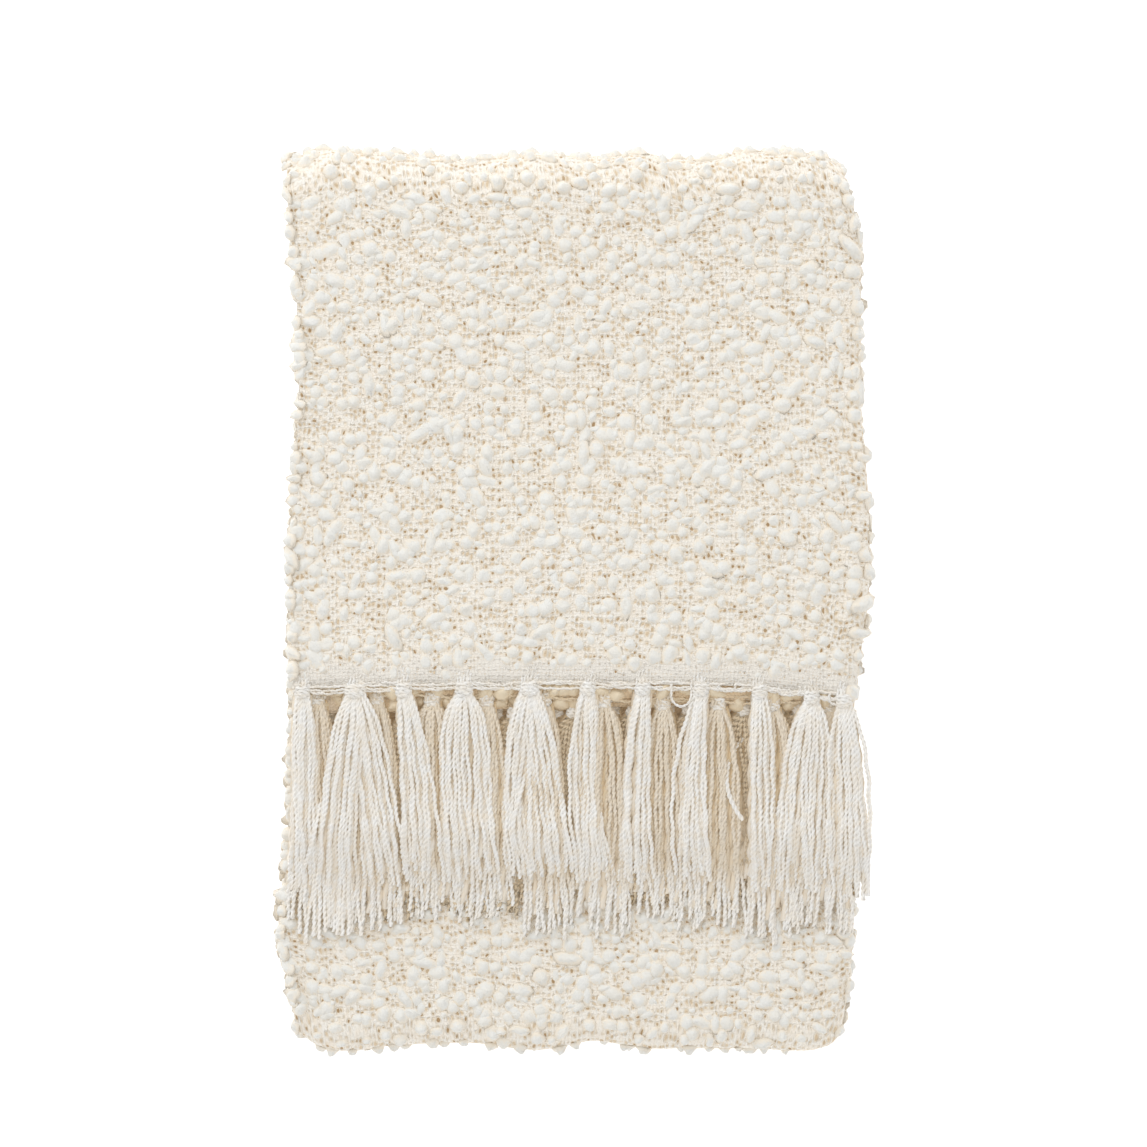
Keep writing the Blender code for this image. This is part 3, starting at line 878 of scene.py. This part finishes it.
def lines_mesh(name, lines, rng):
    """A mesh of open lines of x, y, z and painted shade, each with its own phase of twist."""
    mesh = bpy.data.meshes.new(name)
    places, counts = np.concatenate(lines), [len(line) for line in lines]
    ends = set(np.cumsum(counts) - 1)
    edges = [(place, place + 1) for place in range(len(places)) if place not in ends]
    mesh.from_pydata([tuple(place) for place in places[:, :3]], edges, [])
    store(mesh, "phase", np.repeat([rng.random() for _ in lines], counts))
    store(mesh, "shade", places[:, 3])
    return mesh


def with_shade(points, shade):
    """A line's points, with the painted shade in which each of them lies."""
    return np.column_stack([points, np.broadcast_to(shade, len(points))])


spin_yarn = yarn_tree()


# %% [markdown]
# The yarn is a clean off-white. Every point of a thread holds a painted shade, and the yarn is painted
# browner where that shade is strong, as it is between the rows of the fringe.

# %% Yarn material
YARN = (0.85, 0.852, 0.843, 1)
YARN_SHADE = (0.84, 0.805, 0.745, 1)
PAINTED_SHADE_YARN = (0.67, 0.53, 0.34, 1)
YARN_THICK = 2.5 * MM
PLY_LENGTH = 6.6 * MM


def yarn_material():
    """Matt off-white plied yarn, painted browner where it lies in shade."""
    finish, net, shader = new_material("plied_yarn", roughness=0.9, sheen=0.2, glow=0.08)
    place = net.node("ShaderNodeTexCoord").outputs["Object"]
    tone = net.stretch(net.noise(place, 5 * MM), 0.3, 0.7)
    colour = net.blend(tone, YARN_SHADE, YARN)
    # Painted shade, from the shade that each point holds.
    colour = net.blend(net.point("shade"), colour, PAINTED_SHADE_YARN)
    dress(net, shader, colour, net.noise(place, 0.5 * MM), 0.25 * MM, 0.5)
    return finish


yarn = yarn_material()
print("yarn material has", len(yarn.node_tree.nodes), "nodes")


def spin_threads(name, lines, rng, ring_spacing, thickness=YARN_THICK, ply_length=PLY_LENGTH):
    """A piece of plied yarn along the given lines."""
    sizes = {"ring_spacing": ring_spacing, "thickness": thickness, "ply_length": ply_length}
    return grow(name, lines_mesh(name, lines, rng), spin_yarn, material=yarn, **sizes)


# %% [markdown]
# ## The fringe
#
# About seventeen threads are gathered in each knot. They leave it as a round bunch, fan out and settle on
# the row below. Such a fringe could be combed by hand as hair. Here a tassel is a few sizes and a formula,
# so that all of them can be moved or thinned at once. The top row's tassels have a row each in a table,
# because they all show. The rows below are evenly spaced, and each tassel differs a little.

# %% Tassels of every row
KNOT_BEYOND = 4.3 * MM
TASSEL_LENGTH = 104.0 * MM
TASSEL_PITCH = 31.4 * MM
ROW_LIMIT = 157 * MM
LAST_KNOT = 152 * MM
ROW_TASSELS = 10
ROW_OPENS = 13
TOP_LIFT = 0.8 * MM
# How far the tassels of the lower rows differ, in mm: their places, leans, lengths and opening falls.
PLACE_RANGE, LEAN_RANGE, LENGTH_RANGE, OPENS_RANGE = 1.6, 2.5, 5, 6
LOW_ROW_OPENS = 5
MIDDLE_NARROWER = 4 * MM
# Each tassel of the top row: knot x, middle x, tip x, half width at the middle and at the tips, the fall
# over which it opens, how much longer than most, all in mm, and its threads.
TOP_TASSELS = (
    (-148.5, -148, -149.5, 6.6, 8.5, 14, 6, 14),
    (-120.5, -129, -133, 9.6, 12.5, 12, 30, 17),
    (-118.5, -111, -104.5, 9.0, 11.5, 12, 2, 16),
    (-93, -87, -85, 9.3, 10.0, 30, -2, 16),
    (-60, -60, -57, 14.3, 15.7, 11, 0, 22),
    (-25, -30.5, -27, 8.0, 9.5, 12, -2, 13),
    (-23, -16.5, -11, 9.0, 11.0, 16, -2, 16),
    (8, 7, 10.5, 7.6, 9.2, 12, 2, 15),
    (38, 34, 35, 7.2, 7.8, 20, 2, 14),
    (70, 65, 67, 7.4, 9.0, 30, 1, 15),
    (102, 102, 103, 5.6, 6.2, 10, 5, 13),
    (130.5, 126, 124, 13.2, 14.2, 14, 0, 20),
    (150, 151, 153, 9.2, 11.0, 14, 2, 18),
)
TOP_ROWS_BELOW = 7.9
Tassel = namedtuple("Tassel", "knot middle_x tip_x middle_half tip_half opens length")
# A row's shade is the painted shade of its threads.
Row = namedtuple("Row", "hem layer first_x half_width rows_below longer threads depth shade start cores")
ROWS = {
    "second": Row("upper", 3, -141, 15.5, 6.8, 18, 17, 2, 0.5, 0.0, 6),
    "third": Row("upper", 2, -125, 17.0, 5.8, 0, 13, 1, 0.8, 0.0, 7),
    "fourth": Row("upper", 1, -137, 17.0, 4.6, -2, 12, 1, 1.0, 0.0, 7),
    "fifth": Row("under", 1, -143, 17.0, 3, -12, 18, 1, 0.8, 0.5, 6),
    "sixth": Row("under", 2, -137, 12.0, 2, -16, 5, 1, 0.8, 0.5, 0),
    "seventh": Row("under", 3, -143, 12.0, 1, -16, 5, 1, 0.8, 0.5, 0),
    "eighth": Row("under", 0, -139, 12.0, 0, -16, 5, 1, 0.8, 0.5, 0),
}
RUN_OF_LAYER = ((0, 1), (3, 2), (4, 5), (7, 6))


def hem_place(hem, layer, x, beyond):
    """The middle of a layer's cloth at a given x, at a distance past its hem."""
    start, end = (U_ENDS[place] for place in RUN_OF_LAYER[layer])
    u = np.linspace(start, end, 200)
    s = np.full(200, -beyond if hem == "upper" else LENGTH + beyond)
    points = cloth_point(u, s)
    order = np.argsort(points[:, 0])
    return np.array([np.interp(x, points[order, 0], points[order, axis]) for axis in range(3)])


def row_set(row):
    """The tassels of one evenly spaced row."""
    found = []
    for number in range(ROW_TASSELS):
        x = (row.first_x + PLACE_RANGE * math.sin(5 * number + row.layer)) * MM + number * TASSEL_PITCH
        if x > LAST_KNOT:
            break
        knot = hem_place(row.hem, row.layer, x, KNOT_BEYOND)
        lean = LEAN_RANGE * MM * math.sin(3.1 * number + 2 * row.rows_below)
        length = TASSEL_LENGTH + (row.longer + LENGTH_RANGE * math.sin(1.7 * number + row.rows_below)) * MM
        opens = LOW_ROW_OPENS
        if row.rows_below > 6:
            opens = ROW_OPENS + OPENS_RANGE * math.sin(2.2 * number + row.rows_below)
        half = min(row.half_width * MM, ROW_LIMIT - abs(x + lean))
        middle_half = half - MIDDLE_NARROWER
        found.append(Tassel(knot, x + 0.3 * lean, x + lean, middle_half, half, opens * MM, length))
    return found


def top_set():
    """The tassels of the row that lies on top."""
    found = []
    for knot_x, *fan_sizes, longer, _ in TOP_TASSELS:
        knot = hem_place("upper", 0, knot_x * MM, KNOT_BEYOND)
        knot[2] += TOP_LIFT
        found.append(Tassel(knot, *(size * MM for size in fan_sizes), TASSEL_LENGTH + longer * MM))
    return found


top_tassels = top_set()
row_tassels = {name: row_set(row) for name, row in ROWS.items()}
print("tassels:", len(top_tassels), "on top and", sum(map(len, row_tassels.values())), "below")

# %% [markdown]
# A thread is laid from a knot to its cut tip. It takes its side of the fan, sways and bows a little, and
# comes down to the height of its row. The rows lie close together towards the tips, where their own
# weight presses them. Thick strands behind the threads, painted in shade, stand for the ones in a tassel's
# middle. The threads below the top ones carry a painted shade as well; in the two upper rows it fades
# towards the tips, where they come out into the light.

# %% How the threads lie
NECK = 3.4 * MM
NECK_FALL = 3.5 * MM
TIP_PITCH = 2.4 * MM
PRESS, PRESS_Y, PRESS_WIDTH = 0.83, 0.120, 0.042
# How far threads stray from an even fan: as shares, and then in mm.
SIDE_STRAY, SLANT, REACH_STRAY = 0.4, 0.035, 0.024
SWAY, BOW, WIDE_BOW, WIDE_BOW_SHARE, TIP_STRAY = 0.5, 1.0, 3.5, 0.09, 2.3
FULL_TURN = 6.28
DEPTH_PITCH = 1.2 * MM
SWELL_FALL, SWELL_HEIGHT = 14 * MM, 1.6 * MM
BUNCH_PITCH = 0.8 * MM
SETTLED_AT = 0.7
# How far the tips hang, in mm, in rows with more than so many rows below.
TIP_DROOPS = ((7, 0.5), (6, 1.2), (3, 2.5))
# Painted light: rows with less painted shade than DARKEST_LIT lose it past LIT_FROM of their length.
LIT_FROM, LIT_OVER, DARKEST_LIT = 0.73, 0.13, 0.7
CORE_STRAND = 5.6 * MM
CORE_DROP = 2.5 * MM
CORE_SIDE = 0.72
CORE_REACH = 0.915
NECK_END, FAN_START = 9, 12 * MM
# Each stray thread's course over the top row, as x and y in mm.
STRAYS = (
    ((93, -75), (84, -97), (93, -120)),
    ((-36, -74), (-27, -96), (-33, -121), (-23, -146)),
    ((12, -70), (17, -74), (24, -76)),
    ((133, -72), (119, -92), (112, -118)),
    ((-139, -110), (-146, -140), (-158, -166)),
)
STRAY_ROWS_BELOW = 9.0


def settled_height(x, y, rows_below):
    """The height of the threads of one row, once they lie on the rows below."""
    pressed = 1 - PRESS * ease((-y - PRESS_Y) / PRESS_WIDTH)
    even = 2 * (BUNDLE - FLOOR_DROP) + 0.5 * MM + (rows_below + 0.5) * TIP_PITCH * pressed
    return even * (1 + swell(x, y))


def falls(first, near, reach, far):
    """Distances below the knot: a few close together in the neck, the rest out to the reach."""
    return np.concatenate([np.linspace(first, NECK_END, near) * MM, np.linspace(FAN_START, reach, far)])


def fan(tassel, fall, side):
    """Where a strand at one side of a tassel runs, across and along, at given falls below the knot."""
    share = np.clip(fall / tassel.length, 0, 1)
    x = tassel.knot[0] * (1 - share) * (1 - 2 * share) + tassel.middle_x * 4 * share * (1 - share)
    x = x + tassel.tip_x * share * (2 * share - 1)
    opened = 1 - np.exp(-np.clip(fall - NECK_FALL, 0, None) / tassel.opens)
    spread = NECK + (tassel.middle_half - NECK) * opened
    spread = spread + (tassel.tip_half - tassel.middle_half) * ease(2 * share - 1)
    return x + side * spread, tassel.knot[1] - fall, share


def tassel_lines(rng, tassel, threads, depth, rows_below, shade, start=0.0):
    """The lines of one tassel's threads, from inside its knot to its cut tips."""
    slant = rng.uniform(-SLANT, SLANT)
    droop = next((drop for above, drop in TIP_DROOPS if rows_below > above), 0.0)
    lines = []
    for number in range(threads):
        side = (number + 0.5) / threads * 2 - 1 + rng.normal(0, SIDE_STRAY / threads)
        reach = tassel.length * (1 + rng.normal(0, REACH_STRAY) + slant * side)
        fall = falls(0.5, 6, reach, 24)
        fall = fall[fall >= start * tassel.length - 4 * MM]
        layer = (number % depth) - (depth - 1) / 2
        x, y, share = fan(tassel, fall, side)
        turns, starts = rng.uniform(3, 6, 2), rng.uniform(0, FULL_TURN, 2)
        waves = [np.sin(turn * FULL_TURN * share + start) for turn, start in zip(turns, starts)]
        sway = SWAY * waves[0] * np.clip(4 * share, 0, 1)
        bow = rng.normal(0, BOW) + rng.choice([-WIDE_BOW, WIDE_BOW]) * (rng.random() < WIDE_BOW_SHARE)
        x = x + (sway + bow * np.sin(math.pi * share) + rng.normal(0, TIP_STRAY) * share**2) * MM
        lying = settled_height(x, y, rows_below) + layer * DEPTH_PITCH
        swelling = ease(fall / SWELL_FALL) * (1 - side**2) * SWELL_HEIGHT
        bunch = tassel.knot[2] + swelling * (1 if layer >= 0 else 0.2) + layer * BUNCH_PITCH
        z = bunch + (lying - bunch) * ease(share / SETTLED_AT)
        z = z + 0.35 * MM * waves[1] * share
        z = z - droop * MM * ease(5 * share - 4)
        # Painted shade by row and on the lower layer of threads, taken off towards the tips as painted
        # light.
        lit = ease((share - LIT_FROM) / LIT_OVER) if shade < DARKEST_LIT else 0.0
        dim = np.clip(shade - 0.35 * min(layer, 0), 0, 1) * (1 - lit)
        lines.append(with_shade(np.stack([x, y, z], axis=1), dim))
    return lines


def core_lines(tassel, strands, rows_below, shade):
    """Thick strands that stand for the threads in the middle of a tassel, behind the ones that show, painted
    in a shade that fades towards the tips.
    """
    lines = []
    for side in np.linspace(-CORE_SIDE, CORE_SIDE, strands):
        reach = (CORE_REACH + 0.03 * math.sin(9 * side + 90 * tassel.knot[0])) * tassel.length
        fall = falls(2, 4, reach, 12)
        x, y, share = fan(tassel, fall, side)
        lying, knot_z = settled_height(x, y, rows_below), tassel.knot[2]
        z = knot_z + (lying - knot_z) * ease(share / SETTLED_AT) - CORE_DROP
        lines.append(with_shade(np.stack([x, y, z], axis=1), shade * (1 - 0.75 * share**2)))
    return lines


def stray_line(places):
    """A thread that has left its tassel and lies over the row, through given places in mm."""
    share = np.linspace(0, 1, 24)
    knots = np.linspace(0, 1, len(places))
    curve = np.polyfit(knots, np.array(places), len(places) - 1)
    x, y = (np.polyval(curve[:, axis], share) * MM for axis in (0, 1))
    z = settled_height(x, y, STRAY_ROWS_BELOW) - 2.5 * MM * (1 - np.sin(math.pi * share))
    return with_shade(np.stack([x, y, z], 1), 0.0)


# %% [markdown]
# The upper rows get closer rings than the ones below them, which hardly show. One generator of random
# numbers serves all the threads, so a change to one row changes the stray of the rows after it as well.

# %% Spin the threads of every row
FRINGE_PIECES = {
    "fringe_second_row": (("second",), 2.0 * MM),
    "fringe_middle_rows": (("third", "fourth"), 2.8 * MM),
    "fringe_under_rows": (("fifth", "sixth", "seventh", "eighth"), 2.9 * MM),
}
TOP_RINGS = 1.6 * MM
# Painted shade of the core strands.
TOP_CORE_SHADE = 0.6
rng = np.random.default_rng(23)
lines, core = [], []
for tassel, (*_, tip_half, _, _, threads) in zip(top_tassels, TOP_TASSELS):
    lines += tassel_lines(rng, tassel, threads, 2, TOP_ROWS_BELOW, 0.0)
    core += core_lines(tassel, max(int(tip_half / 2.2), 3), TOP_ROWS_BELOW, TOP_CORE_SHADE)
lines += [stray_line(places) for places in STRAYS]
for name, row in ROWS.items():
    for tassel in row_tassels[name] if row.cores else []:
        core += core_lines(tassel, row.cores, row.rows_below, min(row.shade + 0.5, 1.0))
fringes = [spin_threads("fringe_top_row", lines, rng, TOP_RINGS)]
fringes.append(spin_threads("fringe_core", core, rng, 7.0 * MM, CORE_STRAND, 30.0 * MM))
for name, (members, ring_spacing) in FRINGE_PIECES.items():
    lines = []
    for member in members:
        row = ROWS[member]
        for tassel in row_tassels[member]:
            lines += tassel_lines(rng, tassel, row.threads, row.depth, row.rows_below, row.shade, row.start)
    fringes.append(spin_threads(name, lines, rng, ring_spacing))
fringe_under = fringes.pop()

# %% [markdown]
# Above each knot the hem is gathered, so its fine warp ends run together into the tassel. The last few
# weft threads of each hem are loose: they hang between the knots in shallow waves, and here and there one
# has slipped out in a small loop. They could be drawn in the weave's pattern, but they lie clear of it, so
# they are spun by the tree that spins the fringe, from a thinner yarn.

# %% Fine threads along the hems
GATHER_HEIGHT = 12.0 * MM
# A gather, in mm: its half width at the knot, how far it flares, its rise, its depth, its roundness.
GATHER_HALF, GATHER_FLARE, GATHER_RISE, GATHER_DEPTH, GATHER_ROUND = 3.0, 1.6, 1.4, 1.05, 0.35
# A loose weft: how far it runs past the first and the last knot, and its points.
WEFT_PAST, WEFT_POINTS = (8 * MM, 7 * MM), 170
# Its waves down and up: height in mm, and radians per mm.
WEFT_DOWN, WEFT_UP = (0.35, 0.9), (0.5, 0.37)
WEFT_LIFT = 0.8
# Each loose loop: x, how far below the hem it starts, width and height, in mm.
LOOSE_LOOPS = ((59, 2, 11, 12), (145, 2, 10, 5), (118, 1, 12, 4), (-30, 2, 8, 3), (84, 2, 9, 3))


def gather_lines(rng, tassel, hem, layer, shade, threads=5):
    """Fine warp ends that run together above a knot."""
    lines = []
    for side in np.linspace(-1, 1, threads):
        height = GATHER_HEIGHT * rng.uniform(0.75, 1.1)
        line = []
        for share in np.linspace(1, -0.1, 8):
            x = tassel.knot[0] + side * (GATHER_HALF + GATHER_FLARE * max(share, 0) ** 1.5) * MM
            place = hem_place(hem, layer, x, KNOT_BEYOND - share * height)
            rise = GATHER_RISE * (1 - share) ** 1.3 - GATHER_DEPTH - GATHER_ROUND * side**2
            place[2] += CLOTH_THICK / 2 + rise * MM
            line.append(place)
        lines.append(with_shade(line, shade))
    return lines


def weft_line(rng, hem, layer, tassels, beyond, shade):
    """One loose weft thread along a hem, held up by the knots."""
    xs = np.array([tassel.knot[0] for tassel in tassels])
    sags = rng.normal(1.0, 1.3, len(xs) + 1) * MM
    starts = rng.uniform(0, FULL_TURN, 2)
    line = []
    for x in np.linspace(xs.min() - WEFT_PAST[0], xs.max() + WEFT_PAST[1], WEFT_POINTS):
        place = hem_place(hem, layer, x, beyond * MM)
        span = int(np.searchsorted(xs, x))
        low, high = xs[max(span - 1, 0)], xs[min(span, len(xs) - 1)]
        hang = math.sin(math.pi * (x - low) / (high - low)) if high > low else 0.0
        down, up = (math.sin(x / MM * wave[1] + start) for wave, start in zip((WEFT_DOWN, WEFT_UP), starts))
        place[1] -= sags[span] * hang + WEFT_DOWN[0] * MM * down
        place[2] += (WEFT_LIFT + WEFT_UP[0] * up) * MM
        line.append(place)
    return with_shade(line, shade)


def loop_line(x, below, width, height):
    """A slipped weft thread that hangs below the hem as an open loop."""
    top = hem_place("upper", 0, x * MM, below * MM)
    angle = np.linspace(-0.25, math.pi + 0.2, 26)
    belly = 1 + 0.3 * np.sin(angle)
    wave = 0.25 * np.sin(6 * angle)
    points = [-width / 2 * belly * np.cos(angle) + wave, -height * np.sin(angle), 1.2 + 2 * wave]
    return with_shade(top + np.stack(points, 1) * MM, 0.0)


rng = np.random.default_rng(31)
second = row_tassels["second"]
# The wefts of the top hem get a faint painted shade, and the wefts and gathers of the second row's hem a
# deeper one.
lines = [weft_line(rng, "upper", 0, top_tassels, beyond, 0.1) for beyond in (0.6, 1.7, 2.9, 3.8)]
lines += [weft_line(rng, "upper", 3, second, beyond, 0.8) for beyond in (0.8, 2.4)]
lines += [loop_line(*row) for row in LOOSE_LOOPS]
hem_threads = spin_threads("hem_threads", lines, rng, 1.5 * MM, 1.6 * MM, 5.0 * MM)
lines = []
for tassel in top_tassels:
    lines += gather_lines(rng, tassel, "upper", 0, 0.0)
for tassel in second:
    lines += gather_lines(rng, tassel, "upper", 3, 0.5, threads=4)
hem_gathers = spin_threads("hem_gathers", lines, rng, 2.0 * MM, 2.6 * MM, 16.0 * MM)

# %% [markdown]
# Each knot is a few turns of thread wound round the neck of its tassel. In a true knot the threads pass
# over and under one another, but only the wound outside shows, so a flattened coil is enough. It is one
# mesh, set on every knot's place by the tree that sets the nubs.

# %% Knot shape
KNOT_TURNS = 3.6
KNOT_REACH = (4.0 * MM, 2.3 * MM)
KNOT_HEIGHT = 6.0 * MM
KNOT_RINGS = 1.9 * MM
KNOT_SIZES = (0.9, 1.15)
KNOT_SPIN = 0.12


def coil_line(points=44):
    """A flattened helix round the Y axis."""
    t = np.linspace(0, 1, points)
    angle = 2 * math.pi * KNOT_TURNS * t
    bulge = 0.86 + 0.14 * np.sin(math.pi * t)
    slant = 0.5 * MM * np.cos(angle + 1)
    x, z = KNOT_REACH[0] * bulge * np.cos(angle), KNOT_REACH[1] * bulge * np.sin(angle)
    return with_shade(np.stack([x, KNOT_HEIGHT * (0.5 - t) + slant, z], axis=1), 0.0)


knot_shape = spin_threads("knot_shape", [coil_line()], rng, KNOT_RINGS)

# %% [markdown]
# No two knots are wound alike, so each is turned and stretched a little. The knots of the top row stand
# out, and the ones below are pressed flatter and painted in shade.

# %% Set the knots
inputs = {"shape": knot_shape, "dent_depth": 1.2 * MM, "dent_size": 3 * MM, "material": yarn}
knot_pieces = {}
for hem, first in (("upper", top_tassels), ("under", [])):
    rows = [row_tassels[name] for name, row in ROWS.items() if row.hem == hem]
    centre = [tassel.knot for tassels in [first, *rows] for tassel in tassels]
    count = len(centre)
    top = np.arange(count) < len(first)
    wide, high = rng.uniform(*KNOT_SIZES, count), rng.uniform(*KNOT_SIZES, count)
    grown = np.stack([wide, high, np.where(top, 1.1, 0.7)], axis=1)
    up, sideways = np.tile([0.0, 0.0, 1.0], (count, 1)), np.tile([1.0, 0.0, 0.0], (count, 1))
    turns = turned(up, sideways, rng.normal(0, KNOT_SPIN, count))
    # The knots below the top row are painted in shade.
    host = points_mesh("knots_" + hem, centre, np.where(top, 0.0, 0.7), turned=turns, grown=grown)
    knot_pieces[hem] = grow("knots_" + hem, host, scatter, **inputs)
bpy.data.objects.remove(knot_shape)

# %% [markdown]
# ## Fix the pieces to the frame
#
# Every piece rides on the one body, and the plain solids that the pieces stand for are hidden.

# %% Pieces on the frame
upper_pieces = [*fringes, hem_threads, hem_gathers, knot_pieces["upper"]]
under_pieces = [fringe_under, knot_pieces["under"]]
for piece in [cloth, *nubs, *upper_pieces, *under_pieces]:
    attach(piece, "root")
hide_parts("cloth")
for piece in upper_pieces:
    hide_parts("fringe_upper")
for piece in under_pieces:
    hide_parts("fringe_under")

# %% [markdown]
# ## Floor, light and camera
#
# The throw lies on a plain white floor, which glows a little so that it stays white all round. Most of the
# light comes evenly from a white world, and hardly any shadow lies beside the throw. Two soft square
# lights add a little direction, more of it from the far left.

# %% Studio
FLOOR_SIZE = 6
FLOOR_LIGHT = 0.45
WORLD_LIGHT = 0.81
PALE = (0.95, 0.95, 0.95, 1)
WHITE = (1, 1, 1, 1)


def make_floor():
    """A plain pale floor."""
    bm = bmesh.new()
    bmesh.ops.create_grid(bm, x_segments=1, y_segments=1, size=FLOOR_SIZE)
    mesh = mesh_from(bm, "floor")
    colours = {"Base Color": PALE, "Emission Color": WHITE}
    finish = new_material("floor_white", roughness=0.9, sheen=0.0, glow=FLOOR_LIGHT, **colours)[0]
    mesh.materials.append(finish)
    floor = show("floor", mesh)


def make_light(name, place, size, power):
    """A soft square light that faces the throw."""
    data = bpy.data.lights.new(name, "AREA")
    data.size = size
    data.energy = power
    light = show(name, data)
    light.location = place
    light.rotation_euler = (-Vector(place)).to_track_quat("-Z", "Y").to_euler()


make_floor()
make_light("key", (-0.9, 1.7, 1.5), 2.2, 22)
make_light("fill", (1.6, -1.0, 2.2), 2.0, 1)
world = bpy.data.worlds.new("studio")
world.use_nodes = True
background = world.node_tree.nodes["Background"]
background.inputs["Color"].default_value = WHITE
background.inputs["Strength"].default_value = WORLD_LIGHT
bpy.context.scene.world = world
bpy.context.scene.view_settings.view_transform = "Standard"
print("a floor, two lights and a white world of strength", WORLD_LIGHT)

# %% [markdown]
# The camera looks straight down from high up, so that the sides hardly show. Its lens is worked out from
# the width that the view takes in, a little below the top of the stack.

# %% Camera
VIEW_WIDTH = 631 * MM
VIEW_MIDDLE_Y = 15.4 * MM
CAMERA_HEIGHT = 4.0
SHARP_HEIGHT = 0.045
SENSOR = 36.0
camera_data = bpy.data.cameras.new("camera")
camera_data.sensor_width = SENSOR
camera_data.lens = SENSOR * (CAMERA_HEIGHT - SHARP_HEIGHT) / VIEW_WIDTH
camera = show("camera", camera_data)
camera.location = (0, VIEW_MIDDLE_Y, CAMERA_HEIGHT)
bpy.context.scene.camera = camera
print("lens", round(camera_data.lens, 1), "mm")

# %% [markdown]

# %% Finish
bpy.context.view_layer.update()
